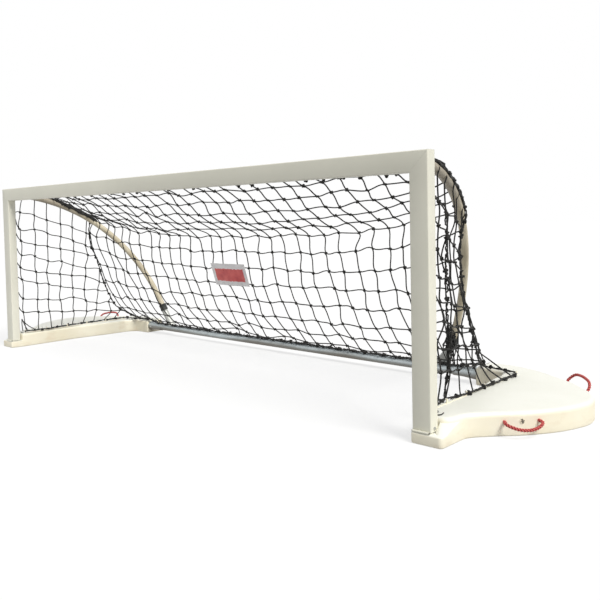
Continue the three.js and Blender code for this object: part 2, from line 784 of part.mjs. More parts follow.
function edgePoint(angle) {
  const turn = THREE.MathUtils.smoothstep(angle, ...edgeTurnAngles) * (Math.PI / 2);
  const point = armPoint(angle);
  point.x -= edgeOffset * Math.cos(turn);
  point.y -= edgeOffset * Math.sin(turn) * Math.sin(angle);
  point.z -= edgeOffset * Math.sin(turn) * Math.cos(angle);
  return point;
}

const strandReach = strandWidth * Math.SQRT1_2;
const netTopY = trackRear + fitGap + strandReach;
const netTopZ = barUnderside + frameFace / 2;
const borderRailZ = railTop + borderRadius;
const borderDeckZ = borderRailZ;

function netEdgeCurve() {
  const points = edgeArmAngles.map(edgePoint);
  const last = points.at(-1);
  const footRest = borderRadius + fitGap + edgeCordRadius / 4;
  const foot = new THREE.Vector3(netFootX, netFootBack, borderDeckZ + footRest);
  const down = edgeFootShares.map((share) => last.clone().lerp(foot, share));
  const top = new THREE.Vector3(mouthHalf - edgeTopInset, netTopY + edgeCordRadius, netTopZ);
  return new THREE.CatmullRomCurve3([top, ...points, ...down, foot]);
}

const netEdge = netEdgeCurve();

// Lower border: along the rail to the deck's corner, then along the tail and the rear tube
function borderHeight(x) {
  const lift = THREE.MathUtils.smoothstep(Math.abs(x), borderRiseInner, borderRiseOuter);
  return THREE.MathUtils.lerp(borderTubeHeight, borderDeckZ, lift);
}

function borderSide() {
  return [
    new THREE.Vector3(railX, railFront, borderRailZ),
    new THREE.Vector3(railX, (railFront + railBack) / 2, borderRailZ),
    new THREE.Vector3(railX, railBack - borderRadius * 16, borderRailZ),
    new THREE.Vector3(railX, railBack - borderRadius * 8, borderRailZ),
    new THREE.Vector3(railX, railBack, borderRailZ),
    new THREE.Vector3(netCornerX, netCornerBack, borderRailZ),
    new THREE.Vector3(netCornerX - borderRadius * 8, netFootBack, borderDeckZ),
    new THREE.Vector3(netFootX, netFootBack, borderDeckZ),
  ];
}

const borderTubeStops = [
  (netFootX + borderRiseOuter) / 2,
  borderRiseOuter,
  (borderRiseOuter + borderRiseInner) / 2,
  borderRiseInner,
  borderRiseInner / 2,
  0,
];

function borderCurve() {
  const right = borderSide();
  for (const x of borderTubeStops) right.push(new THREE.Vector3(x, borderTubeBack, borderHeight(x)));
  const left = right.slice(0, -1).map((point) => point.clone().setX(-point.x));
  return new THREE.CatmullRomCurve3([...right, ...left.reverse()], false, 'centripetal');
}

// Net surfaces: the roof and back in one sheet, and a panel on each side
const netLift = borderRadius + fitGap + strandWidth;
const netBellyPower = 2.2;
const netSettlePower = 8;
const netEdgeSlack = 5;
const edgeClearance = edgeCordRadius + fitGap + strandWidth + netEdgeSlack;

// Middle line of the sheet: share of the way back to the border, share of the way down to it
const netMiddleShares = [[0, 0], [0.27, 0.156], [0.543, 0.304], [0.69, 0.524], [0.864, 0.754], [1, 1]];
const netSeatY = borderTubeBack - netLift;

function netMiddleCurve() {
  return new THREE.CatmullRomCurve3(netMiddleShares.map(([back, down]) => new THREE.Vector3(
    0,
    THREE.MathUtils.lerp(netTopY, netSeatY, back),
    THREE.MathUtils.lerp(netTopZ, borderTubeHeight, down),
  )));
}

const netMiddle = netMiddleCurve();

function mainNetPlace(u, v) {
  const edge = netEdge.getPointAt(v);
  const middle = netMiddle.getPointAt(v);
  const across = 2 * u - 1;
  const x = across * (edge.x - edgeClearance);
  const belly = 1 - Math.abs(across) ** netBellyPower;
  const settle = v ** netSettlePower;
  const point = edge.lerp(middle, belly);
  const y = THREE.MathUtils.lerp(point.y, netSeatY, settle);
  const z = THREE.MathUtils.lerp(point.z, borderHeight(x), settle);
  return new THREE.Vector3(x, y, z);
}

const sideTopShare = 0.13;
const sideFlarePower = 3;
const sideBottomZ = deckTop + hookHeight + fitGap + strandWidth;

function sideBottomCurve() {
  const lifted = borderSide().map((point) => point.clone().setZ(sideBottomZ));
  lifted[0].setY(railFront + strandWidth);
  const front = new THREE.Vector3(postCentre, netTopY, sideTrackBottom);
  return new THREE.CatmullRomCurve3([front, ...lifted], false, 'centripetal');
}

const sideBottom = sideBottomCurve();

function sideNetPlace(u, v) {
  const edgeShare = THREE.MathUtils.lerp(sideTopShare, 1, v);
  const edge = netEdge.getPointAt(edgeShare);
  const front = new THREE.Vector3(postCentre, netTopY, THREE.MathUtils.lerp(sideTrackTop, sideTrackBottom, v));
  const across = u * (1 - edgeClearance / front.distanceTo(edge));
  const taut = front.clone().lerp(edge, across);
  return taut.lerp(sideBottom.getPointAt(across), v ** sideFlarePower);
}

// A net as square strands that cross at knots: one closed lattice over a surface
function crossingFrame(place, u, v, step) {
  const at = place(u, v);
  const across = place(Math.min(1, u + step), v).sub(place(Math.max(0, u - step), v)).normalize();
  const down = place(u, Math.min(1, v + step)).sub(place(u, Math.max(0, v - step))).normalize();
  const normal = across.clone().cross(down).normalize();
  return { at, across, down, normal };
}

const frameStepShare = 0.004;

function latticeCorners(place, columns, rows) {
  const half = strandWidth / 2;
  const positions = [];
  for (let j = 0; j <= rows; j += 1) {
    for (let i = 0; i <= columns; i += 1) {
      const { at, across, down, normal } = crossingFrame(place, i / columns, j / rows, frameStepShare);
      for (const side of [1, -1]) {
        for (const [a, d] of [[-1, -1], [1, -1], [1, 1], [-1, 1]]) {
          const corner = at.clone().addScaledVector(across, a * half).addScaledVector(down, d * half);
          corner.addScaledVector(normal, side * half);
          positions.push(corner.x, corner.y, corner.z);
        }
      }
    }
  }
  return positions;
}

function lattice(place, columns, rows) {
  const faces = [];
  const quad = (a, b, c, d) => faces.push(a, b, c, a, c, d);
  const first = (i, j) => 8 * (j * (columns + 1) + i);
  for (let j = 0; j <= rows; j += 1) {
    for (let i = 0; i <= columns; i += 1) {
      const p = first(i, j);
      quad(p, p + 1, p + 2, p + 3);
      quad(p + 7, p + 6, p + 5, p + 4);
      if (i < columns) joinAcross(quad, p, first(i + 1, j));
      else quad(p + 5, p + 6, p + 2, p + 1);
      if (i === 0) quad(p, p + 3, p + 7, p + 4);
      if (j < rows) joinDown(quad, p, first(i, j + 1));
      else quad(p + 3, p + 2, p + 6, p + 7);
      if (j === 0) quad(p + 4, p + 5, p + 1, p);
    }
  }
  return meshData(latticeCorners(place, columns, rows), faces);
}

function joinAcross(quad, p, q) {
  quad(p + 1, q, q + 3, p + 2);
  quad(p + 6, q + 7, q + 4, p + 5);
  quad(p + 5, q + 4, q, p + 1);
  quad(p + 2, q + 3, q + 7, p + 6);
}

function joinDown(quad, p, q) {
  quad(p + 3, p + 2, q + 1, q);
  quad(q + 4, q + 5, p + 6, p + 7);
  quad(p + 3, q, q + 4, p + 7);
  quad(p + 6, q + 5, q + 1, p + 2);
}

// Sign sheet: lies on the mouth side of the net, from knot to knot
function signSheet() {
  const near = strandWidth / 2 + fitGap;
  const positions = [];
  const faces = [];
  const columns = signColumns[1] - signColumns[0];
  const rows = signRows[1] - signRows[0];
  for (const depth of [near, near + signThickness]) {
    for (let j = 0; j <= rows; j += 1) {
      for (let i = 0; i <= columns; i += 1) {
        const [u, v] = [(signColumns[0] + i) / netColumns, (signRows[0] + j) / netRows];
        const { at, normal } = crossingFrame(mainNetPlace, u, v, frameStepShare);
        const corner = at.addScaledVector(normal, -depth);
        positions.push(corner.x, corner.y, corner.z);
      }
    }
  }
  const wide = columns + 1;
  const layer = wide * (rows + 1);
  const quad = (a, b, c, d) => faces.push(a, b, c, a, c, d);
  for (let j = 0; j < rows; j += 1) {
    for (let i = 0; i < columns; i += 1) {
      const p = j * wide + i;
      quad(p, p + 1, p + wide + 1, p + wide);
      quad(layer + p, layer + p + wide, layer + p + wide + 1, layer + p + 1);
    }
  }
  const rim = [];
  for (let i = 0; i < columns; i += 1) rim.push(i);
  for (let j = 0; j < rows; j += 1) rim.push(j * wide + columns);
  for (let i = columns; i > 0; i -= 1) rim.push(rows * wide + i);
  for (let j = rows; j > 0; j -= 1) rim.push(j * wide);
  rim.forEach((p, k) => {
    const q = rim[(k + 1) % rim.length];
    quad(p, layer + p, layer + q, q);
  });
  return meshData(positions, faces);
}

function buildNet() {
  addPiece(goalFace, 'net_main', lattice(mainNetPlace, netColumns, netRows), finishes.net);
  addPair(onFace, 'side_net', lattice(sideNetPlace, sideColumns, sideRows), finishes.net);
  addPair(onFace, 'net_edge_cord', swept(netEdge, 18, edgeCordRadius, 8), finishes.net);
  addPiece(goalFace, 'net_border_cord', swept(borderCurve(), 56, borderRadius, 8), finishes.net);
  addPiece(goalFace, 'sign_sheet', signSheet(), finishes.sign);
}

buildFloats();
buildRopesAndPlugs();
buildRearTube();
buildSockets();
buildArms();
buildArmBrackets();
buildFrame();
buildEndPlugs();
buildHinges();
buildTracks();
buildRails();
buildNet();

// The origin is under the middle of the whole goal
const frontmost = Math.min(-footLip, hingeY - knuckleRadius);
goal.position.y = -(frontmost + floatBack) / 2;

export default goal;
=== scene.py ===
"""Water polo goal: a folding frame on two floats, with a knotted net inside two curved arms.

Metres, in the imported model's frame. Places written with at() are measured back from the posts'
front face, as in the part's own source.
"""

import math

import bmesh
import bpy
import numpy as np
from mathutils import Matrix, Vector
from mathutils.geometry import tessellate_polygon


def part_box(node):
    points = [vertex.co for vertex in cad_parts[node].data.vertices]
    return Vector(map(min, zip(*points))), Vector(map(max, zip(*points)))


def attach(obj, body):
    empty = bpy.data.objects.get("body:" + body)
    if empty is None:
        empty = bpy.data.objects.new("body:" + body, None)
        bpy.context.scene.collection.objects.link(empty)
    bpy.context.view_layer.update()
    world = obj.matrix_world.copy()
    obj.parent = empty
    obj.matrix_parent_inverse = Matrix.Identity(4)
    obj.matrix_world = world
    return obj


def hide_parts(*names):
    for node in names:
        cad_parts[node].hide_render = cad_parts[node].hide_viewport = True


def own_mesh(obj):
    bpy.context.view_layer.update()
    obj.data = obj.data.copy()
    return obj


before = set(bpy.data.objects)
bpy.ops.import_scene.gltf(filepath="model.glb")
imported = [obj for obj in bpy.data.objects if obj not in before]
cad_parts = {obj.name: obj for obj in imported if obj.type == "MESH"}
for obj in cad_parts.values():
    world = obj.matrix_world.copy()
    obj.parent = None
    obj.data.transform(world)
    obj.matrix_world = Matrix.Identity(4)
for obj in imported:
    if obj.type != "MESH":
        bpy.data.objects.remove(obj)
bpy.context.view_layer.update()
SIDES = {"right": 1, "left": -1}
FRONT_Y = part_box("right_post")[0].y


def at(x, y, z):
    """A point measured from the posts' front face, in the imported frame."""
    return np.array((x, y + FRONT_Y, z), float)


def new_object(name, data):
    obj = bpy.data.objects.new(name, data)
    bpy.context.scene.collection.objects.link(obj)
    return obj


# Camera, at the photograph's viewing angle
IMAGE = 600
FOCAL_PIXELS = 691.63
AXIS_PIXEL_Y = 248
SENSOR = 36
CAMERA_AT = at(2.819, -2.026, 0.788)
CAMERA_YAW = math.radians(42.094)
CAMERA_PITCH = math.radians(2.41)
CAMERA_ROLL = math.radians(-1.152)


def rotation(angle, first, second):
    """A rotation in the plane of two axes."""
    turned = np.eye(3)
    turned[first, first] = turned[second, second] = math.cos(angle)
    turned[first, second] = math.sin(angle)
    turned[second, first] = -math.sin(angle)
    return turned


def make_camera():
    to_image = np.array(((1, 0, 0), (0, 0, -1), (0, 1, 0)))
    leaned = rotation(CAMERA_ROLL, 1, 0) @ rotation(CAMERA_PITCH, 2, 1)
    right, down, forward = leaned @ to_image @ rotation(CAMERA_YAW, 0, 1)
    data = bpy.data.cameras.new("camera")
    data.sensor_width = SENSOR
    data.lens = SENSOR * FOCAL_PIXELS / IMAGE
    data.shift_y = (AXIS_PIXEL_Y - IMAGE / 2) / IMAGE
    data.clip_end = 100
    camera = new_object("camera", data)
    placed = Matrix(np.array((right, -down, -forward)).T.tolist()).to_4x4()
    placed.translation = Vector(CAMERA_AT)
    camera.matrix_world = placed
    bpy.context.scene.camera = camera


make_camera()

# Sizes shared by the pieces below
POST_INNER_X = 1.5
FRAME_FACE = 0.075
FRAME_DEPTH = 0.048
FRAME_EDGE = 0.004
BAR_UNDERSIDE = 0.94
POST_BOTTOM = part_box("right_post")[0].z
POST_CENTRE_X = POST_INNER_X + FRAME_FACE / 2
BAR_CENTRE_Z = BAR_UNDERSIDE + FRAME_FACE / 2
FLOAT_INNER_X = 1.488
FLOAT_FRONT_Y = 0.058
FLOAT_WIDTH = 0.422
FLOAT_LENGTH = 0.947
FLOAT_HEIGHT = 0.088
TAIL_X = 1.28
TUBE_RADIUS = 0.021
ARM_TUBE_RADIUS = 0.018
TUBE_Y = 0.91
TUBE_Z = 0.048
TRACK_REAR_Y = 0.0563


# Curves
def along_slopes(points, slopes, gaps, steps):
    """A line through the points that crosses each one at its slope; gaps are the points' spacings."""
    t = np.arange(steps)[:, None] / steps
    line = []
    for p, q, u, v, gap in zip(points, points[1:], slopes, slopes[1:], gaps):
        line.extend((2 * t**3 - 3 * t**2 + 1) * p + (t**3 - 2 * t**2 + t) * gap * u
                    + (3 * t**2 - 2 * t**3) * q + (t**3 - t**2) * gap * v)
    line.append(points[-1])
    return line


def catmull(points, steps):
    """A smooth centripetal line through the points."""
    p = np.array(points, float)
    p = np.concatenate((2 * p[:1] - p[1:2], p, 2 * p[-1:] - p[-2:-1]))
    gaps = np.maximum(np.linalg.norm(np.diff(p, axis=0), axis=1) ** 0.5, 1e-9)[:, None]
    rise = np.diff(p, axis=0) / gaps
    slopes = (rise[:-1] * gaps[1:] + rise[1:] * gaps[:-1]) / (gaps[:-1] + gaps[1:])
    return np.array(along_slopes(p[1:-1], slopes, gaps[1:-1], steps))


def lengths_along(line):
    steps = np.linalg.norm(np.diff(line, axis=0), axis=1)
    return np.concatenate(([0], np.cumsum(steps)))


def where(value, scale, line):
    """The point of a line at which its rising scale has the value."""
    return np.array([np.interp(value, scale, line[:, k]) for k in range(3)])


def on_line(line, share):
    """The point at a share of the line's length."""
    far = lengths_along(line)
    return where(share * far[-1], far, line)


def evenly(line, count):
    return np.array([on_line(line, share) for share in np.linspace(0, 1, count)])


def smoothstep(value, low, high):
    t = np.clip((value - low) / (high - low), 0, 1)
    return t * t * (3 - 2 * t)


def mix(a, b, share):
    return a + (b - a) * share


def unit(v):
    """The vector, or each row of several, at length 1."""
    return v / np.maximum(np.linalg.norm(v, axis=-1, keepdims=True), 1e-12)


# Mesh making
class Shape:
    """Vertices and faces gathered from several closed bodies."""

    def __init__(self):
        self.vertices = []
        self.faces = []

    def add(self, vertices, faces):
        start = len(self.vertices)
        self.vertices.extend(map(tuple, vertices))
        self.faces.extend(tuple(start + i for i in face) for face in faces)
        return self

    def join(self, other):
        return self.add(other.vertices, other.faces)


def skin_faces(rings, count, joined=False):
    """Faces from ring to ring of count vertices, and where joined from the last to the first."""
    faces = []
    for ring in range(rings if joined else rings - 1):
        up = ((ring + 1) % rings - ring) * count
        for i in range(count):
            a, b = ring * count + i, ring * count + (i + 1) % count
            faces.append((a, b, b + up, a + up))
    return faces


def capped(vertices, count):
    """A solid through rings of count vertices, with one flat face at each end."""
    total = len(vertices)
    caps = [tuple(reversed(range(count))), tuple(range(total - count, total))]
    return Shape().add(vertices, skin_faces(total // count, count) + caps)


def ring_angles(sides):
    return np.arange(sides) * 2 * math.pi / sides


def valleys(strands, sides):
    """How deep each side of a rope lies between its strands: 0 on top and 1 at the bottom."""
    return 0.5 - 0.5 * np.cos(strands * ring_angles(sides))


def line_sides(line):
    """Two sideways axes at each point of a line, which turn as little as they can."""
    along = unit(np.gradient(line, axis=0))
    first = np.cross(along[0], (0, 0, 1))
    if np.linalg.norm(first) < 0.1:
        first = np.cross(along[0], (1, 0, 0))
    side = [unit(first)]
    for direction in along[1:]:
        kept = side[-1] - direction * side[-1].dot(direction)
        side.append(unit(kept))
    return np.array(side), np.cross(along, side)


def rings_around(line, side, up, reach, turned):
    """A ring of vertices at each point of a line."""
    across = (np.cos(turned) * reach)[..., None] * side[:, None]
    return (line[:, None] + across + (np.sin(turned) * reach)[..., None] * up[:, None]).reshape(-1, 3)


def tube_shape(line, radius, sides, turns=0, lobes=0, lobe_depth=0):
    """A closed tube along a line; lobes and turns give a rope's laid strands."""
    line = np.array(line, float)
    turned = ring_angles(sides) + turns * 2 * math.pi * lengths_along(line)[:, None]
    reach = np.broadcast_to(radius, len(line))[:, None] * (1 - lobe_depth * valleys(lobes, sides))
    return capped(rings_around(line, *line_sides(line), reach, turned), sides)


def lathe_shape(profile, origin, direction, sides=40):
    """A closed profile of (radius, along) turned around a direction; radius 0 is on the axis."""
    direction = unit(np.array(direction, float))
    side = unit(np.cross(direction, (0, 0, 1) if abs(direction[2]) < 0.9 else (1, 0, 0)))
    up = np.cross(direction, side)
    vertices, faces, rings = [], [], []
    for radius, along in profile:
        centre = origin + direction * along
        count = sides if radius > 0 else 1
        rings.append([len(vertices) + i % count for i in range(sides)])
        vertices += [centre + radius * (math.cos(a) * side + math.sin(a) * up) for a in ring_angles(count)]
    if profile[0][0] > 0:
        rings.append(rings[0])
    for low, high in zip(rings, rings[1:]):
        for i in range(sides):
            j = (i + 1) % sides
            face = tuple(dict.fromkeys((low[i], low[j], high[j], high[i])))
            if len(face) > 2:
                faces.append(face)
    return Shape().add(vertices, faces)


def piece(name, shape, material, body, slot, replaced, flat_angle=40, side=1):
    """One object from a shape: mirrored where side is -1, riding on its body."""
    vertices = np.array(shape.vertices, float)
    faces = shape.faces
    if side < 0:
        vertices[:, 0] *= -1
        faces = [tuple(reversed(face)) for face in faces]
    mesh = bpy.data.meshes.new(name)
    mesh.from_pydata(vertices.tolist(), [], faces)
    obj = new_object(name, mesh)
    cleaned = bmesh.new()
    cleaned.from_mesh(mesh)
    bmesh.ops.recalc_face_normals(cleaned, faces=cleaned.faces)
    cleaned.to_mesh(mesh)
    cleaned.free()
    mesh.shade_smooth()
    mesh.set_sharp_from_angle(angle=math.radians(flat_angle))
    mesh.materials.append(material)
    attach(obj, body)
    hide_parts(replaced)
    return obj


def pair(name, shape, material, body, slot, replaced, **options):
    """The same piece on both sides; body may hold the word SIDE."""
    return [piece(f"{word}_{name}", shape, material, body.replace("SIDE", word), slot, f"{word}_{replaced}",
                  side=sign, **options) for word, sign in SIDES.items()]


# Materials
# The mesh attribute that holds how much painted shade each rope vertex gets in the grooves.
GROOVE_SHADE = "groove_shade"
ROUGH_SPREAD = 0.12


class Nodes:
    """Short ways to add shader nodes to a material or a world."""

    def __init__(self, owner):
        owner.use_nodes = True
        self.nodes, self.links = owner.node_tree.nodes, owner.node_tree.links

    def feed(self, node, inputs):
        """Each input takes a value or another node's output."""
        for name, value in inputs.items():
            socket = node.inputs[name]
            if isinstance(value, bpy.types.NodeSocket):
                self.links.new(value, socket)
            else:
                socket.default_value = (*value, 1) if socket.type == "RGBA" else value
        return node

    def add(self, kind, inputs=(), **options):
        node = self.nodes.new("ShaderNode" + kind)
        for name, value in options.items():
            setattr(node, name, value)
        return self.feed(node, dict(inputs))

    def math(self, operation, *values):
        return self.add("Math", enumerate(values), operation=operation).outputs[0]

    def level(self, value, to_low, to_high, from_low=0, from_high=1):
        ends = {"From Min": from_low, "From Max": from_high, "To Min": to_low, "To Max": to_high}
        return self.add("MapRange", {"Value": value, **ends}).outputs["Result"]

    def blend(self, share, a, b):
        return self.add("Mix", {"Factor": share, "A": a, "B": b}, data_type="RGBA").outputs["Result"]

    def ramp(self, share, stops):
        node = self.add("ValToRGB", {"Fac": share})
        elements = node.color_ramp.elements
        while len(elements) < len(stops):
            elements.new(0.5)
        for element, (place, color) in zip(elements, stops):
            element.position = place
            element.color = (*color, 1)
        return node.outputs["Color"]

    def axes(self, kind, output):
        return self.add("SeparateXYZ", {0: self.add(kind).outputs[output]}).outputs

    def noise(self, scale, detail, stretch=(1, 1, 1)):
        place = self.add("TexCoord").outputs["Object"]
        mapped = self.add("Mapping", {"Vector": place, "Scale": stretch}).outputs["Vector"]
        return self.add("TexNoise", {"Vector": mapped, "Scale": scale, "Detail": detail}).outputs["Fac"]

    def seen(self):
        """1 where a ray comes from the camera, a reflection or through a clear surface."""
        path = self.add("LightPath").outputs
        either = self.math("MAXIMUM", path["Is Camera Ray"], path["Is Glossy Ray"])
        return self.math("MAXIMUM", either, path["Is Transmission Ray"])

    def show(self, output, share, plain, other):
        """The output shows the plain shader, and the other one as far as share says."""
        mixed = self.add("MixShader", {"Fac": share, 1: plain.outputs[0], 2: other.outputs[0]})
        self.feed(self.nodes[output], {"Surface": mixed.outputs[0]})


class Surface(Nodes):
    """A new material with its own shader."""

    def __init__(self, name, roughness, metallic=0, specular=0.5):
        self.material = bpy.data.materials.new(name)
        super().__init__(self.material)
        self.shader = self.nodes["Principled BSDF"]
        self.look({"Roughness": roughness, "Metallic": metallic, "Specular IOR Level": specular})

    def look(self, inputs):
        self.feed(self.shader, inputs)

    def bump(self, height, strength, distance):
        node = self.add("Bump", {"Strength": strength, "Distance": distance, "Height": height})
        self.look({"Normal": node.outputs["Normal"]})


def mottled(name, dark, light, roughness, scale=6, fine=400, bumps=0.15, depth=0.0004,
            stretch=(1, 1, 1), metallic=0, stops=(0.3, 0.68), painted_shade=None):
    """A surface with soft patches of two tones, fine grain and uneven gloss, and where asked painted shade
    above a height.
    """
    surface = Surface(name, roughness, metallic)
    patches = surface.noise(scale, 6, stretch)
    color = surface.ramp(patches, [(stops[0], dark), (stops[1], light)])
    # Painted shade: the colour darkens towards the shade tone above a height, for the net's shadow on the
    # upper parts.
    if painted_shade:
        low, high, shade_tone = painted_shade
        above = surface.level(surface.axes("TexCoord", "Object")["Z"], 0, 1, low, high)
        color = surface.blend(above, color, shade_tone)
    gloss = surface.level(patches, roughness - ROUGH_SPREAD, roughness + ROUGH_SPREAD)
    surface.look({"Base Color": color, "Roughness": gloss})
    surface.bump(surface.noise(fine, 3, stretch), bumps, depth)
    return surface.material


def rope_material(name, dark, light, scale, groove_shade=None):
    """Fibres in fine dark and light flecks with a fuzzy sheen, and painted shade in the grooves between
    strands.
    """
    surface = Surface(name, 0.85, specular=0.2)
    fibres = surface.noise(scale, 8)
    color = surface.ramp(fibres, [(0.35, dark), (0.6, light)])
    if groove_shade:
        # Painted shade: the colour darkens towards the given shade where the attribute says a groove lies.
        depth = surface.add("Attribute", attribute_name=GROOVE_SHADE).outputs["Fac"]
        color = surface.blend(depth, color, groove_shade)
    surface.look({"Base Color": color, "Sheen Weight": 0.15, "Sheen Roughness": 0.5})
    surface.bump(fibres, 0.6, 0.0008)
    return surface.material


def moulded_plastic(name):
    """Cream plastic: whiter on the deck, warmer and stained down the walls."""
    surface = Surface(name, 0.42)
    clouds = surface.noise(5, 6)
    wall = surface.ramp(clouds, [(0.3, (0.9, 0.83, 0.64)), (0.62, (0.94, 0.89, 0.73))])
    deck = surface.ramp(clouds, [(0.3, (0.83, 0.83, 0.75)), (0.62, (0.87, 0.87, 0.8))])
    up = surface.level(surface.axes("NewGeometry", "Normal")["Z"], 0, 1, 0.3, 0.95)
    stain = surface.noise(9, 8, (1, 1, 2.2))
    stained = surface.ramp(stain, [(0.56, (0, 0, 0)), (0.72, (0.55, 0.55, 0.55))])
    share = surface.math("MULTIPLY", surface.math("SUBTRACT", 1, up), stained)
    color = surface.blend(share, surface.blend(up, wall, deck), (0.78, 0.66, 0.48))
    surface.look({"Base Color": color, "Roughness": surface.level(stain, 0.36, 0.6)})
    surface.bump(surface.noise(330, 3), 0.1, 0.0004)
    return surface.material


def metal_with_painted_light(name):
    """Bare aluminium with painted light: a painted highlight on its upper side and browner painted shade on
    its lower side.
    """
    surface = Surface(name, 0.4, 0.45)
    streaks = surface.noise(7, 6, (0.25, 1, 1))
    # Painted light: upward faces take the light tone as a painted highlight, downward faces the dark brown
    # tone as painted shade.
    height = surface.math("MULTIPLY_ADD", surface.axes("NewGeometry", "Normal")["Z"], 0.42, streaks)
    tones = [(0.15, (0.17, 0.145, 0.115)), (0.42, (0.27, 0.27, 0.25)), (0.72, (0.56, 0.62, 0.64))]
    surface.look({"Base Color": surface.ramp(height, tones)})
    surface.bump(surface.noise(900, 3, (0.05, 1, 1)), 0.2, 0.0002)
    return surface.material


def sign_material(name, low, high):
    """A bare milky sheet with a plain red field, worn at its edges."""
    surface = Surface(name, 0.35)
    place = surface.axes("TexCoord", "Object")
    ragged, wear, soft = surface.noise(60, 4), 0.012, 0.0015
    inside = 1
    for axis, ends in zip("XZ", zip(low, high)):
        for edge, side in zip(ends, (1, -1)):
            shifted = surface.math("MULTIPLY_ADD", ragged, wear, place[axis])
            middle = edge + wear / 2
            step = surface.level(shifted, 0, 1, middle - side * soft, middle + side * soft)
            inside = surface.math("MINIMUM", inside, step)
    clouds = surface.noise(22, 5)
    red = surface.ramp(clouds, [(0.35, (0.6, 0.06, 0.065)), (0.65, (0.78, 0.13, 0.12))])
    bare = surface.ramp(clouds, [(0.3, (0.8, 0.78, 0.78)), (0.65, (0.93, 0.91, 0.91))])
    surface.look({"Base Color": surface.blend(inside, bare, red)})
    surface.bump(surface.noise(240, 3), 0.12, 0.0004)
    return surface.material


frame_paint = mottled("frame_paint", (0.73, 0.715, 0.61), (0.8, 0.785, 0.675), 0.42, 3, 300, 0.08, 0.0003)
float_plastic = moulded_plastic("float_plastic")
tube_metal = metal_with_painted_light("tube_metal")
socket_metal = mottled("socket_metal", (0.36, 0.365, 0.345), (0.56, 0.57, 0.54), 0.45, 12, 700, 0.2, 0.0002,
                       metallic=0.25)
# The arms' paint gets painted shade from a height of 0.8 m, full at 0.88 m, where the net shades them.
arm_paint = mottled("arm_paint", (0.44, 0.38, 0.26), (0.7, 0.63, 0.48), 0.45, 9, 350, 0.12, 0.0004,
                    painted_shade=(0.8, 0.88, (0.33, 0.29, 0.22)))
steel = mottled("steel", (0.42, 0.43, 0.44), (0.62, 0.63, 0.64), 0.35, 30, 1200, 0.25, 0.0001,
                (1, 1, 0.1), 1)
dull_steel = mottled("dull_steel", (0.1, 0.095, 0.085), (0.22, 0.21, 0.19), 0.5, 30, 900, 0.3, 0.0002,
                     metallic=0.6)
black_rubber = mottled("black_rubber", (0.012, 0.013, 0.012), (0.035, 0.037, 0.033), 0.7, 25, 900, 0.4)
dark_plastic = mottled("dark_plastic", (0.03, 0.03, 0.03), (0.06, 0.06, 0.058), 0.55, 20, 700, 0.3, 0.0003)
foam = mottled("foam", (0.8, 0.8, 0.76), (0.9, 0.9, 0.86), 0.9, 40, 500, 0.4, 0.0006)
plug_plastic = mottled("plug_plastic", (0.12, 0.105, 0.08), (0.84, 0.77, 0.6), 0.5, 110, 900, 0.3, 0.0003,
                       (0.5, 1, 1.6), stops=(0.47, 0.53))
net_twine = rope_material("net_twine", (0.006, 0.006, 0.006), (0.03, 0.029, 0.027), 900)
# The red rope's last colour is the painted shade in its grooves.
red_rope = rope_material("red_rope", (0.52, 0.05, 0.05), (0.88, 0.2, 0.18), 500, (0.07, 0.002, 0.004))


# Rope handles: the route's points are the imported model's own
ROPE_RADIUS = 0.006
ROPE_SEAT = 0.022
HANDLE_HEIGHT = 0.054
HANDLE_HALF_SPAN = 0.064
ROPE_FULLNESS = 1.1
ROPE_LAY_TURNS = 32
ROPE_STRANDS = 3
STRAND_DEPTH = 0.36
ROPE_SIDES = 18
GROOVE_SHADE_POWER = 1.6
ROPE_STEPS = 220
FRONT_ROPE = [(-0.068, 0.018, -0.002), (-0.056, 0.036, -0.008), (-0.03, 0.047, -0.016), (0, 0.05, -0.019),
              (0.03, 0.047, -0.016), (0.056, 0.036, -0.008), (0.068, 0.018, -0.002)]
REAR_ROPE = [(-0.066, 0.018, 0.006), (-0.062, 0.034, 0.022), (-0.046, 0.044, 0.04), (-0.014, 0.048, 0.049),
             (0.024, 0.048, 0.053), (0.06, 0.044, 0.048), (0.076, 0.024, 0.026)]
HANDLES = {
    "front_rope_handle": ((0.6605, 0.2534), FRONT_ROPE),
    "rear_rope_handle": ((0.607, 0.826), REAR_ROPE),
}

OUTER_SHARES = [
    (0.3, 0), (0.322, 0.045), (0.35, 0.105), (0.498, 0.182), (0.682, 0.263), (0.865, 0.38), (0.962, 0.483),
    (0.993, 0.556), (0.967, 0.63), (0.886, 0.701), (0.768, 0.757), (0.607, 0.826), (0.412, 0.884),
    (0.166, 0.952), (-0.097, 0.995), (-0.256, 1),
]
INNER_SHARES = [(-0.165, 0.84), (-0.105, 0.78), (-0.09, 0.66), (-0.035, 0.5), (0, 0.36)]
TAIL_FRONT = (-0.244, 0.86)


def float_place(share):
    return np.array((FLOAT_INNER_X + share[0] * FLOAT_WIDTH, FLOAT_FRONT_Y + share[1] * FLOAT_LENGTH, 0))


def spline_2d(points, steps=6):
    """Uniform spline through points with its ends held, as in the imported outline."""
    p = np.array(points, float)
    held = np.concatenate((p[:1], p, p[-1:]))
    return along_slopes(p, (held[2:] - held[:-2]) / 2, np.ones(len(p)), steps)


def rounded_corner(before, corner, after, cut_before, cut_after, steps=6):
    start = corner - unit(corner - before) * cut_before
    end = corner + unit(after - corner) * cut_after
    return [mix(mix(start, corner, t), mix(corner, end, t), t) for t in np.linspace(0, 1, steps)]


PLAN_CUT = 0.012
PAST_CORNER = 0.07
BEHIND_CORNER = 0.008
DECK_FRONT_CUTS = (0.036, 0.06)
FOOT_FRONT_CUTS = (0.016, 0.018)
POST_SIDE = np.array((1.5758, FLOAT_FRONT_Y, 0))
RAMP_SIDE = POST_SIDE + (0.0006, 0, 0)


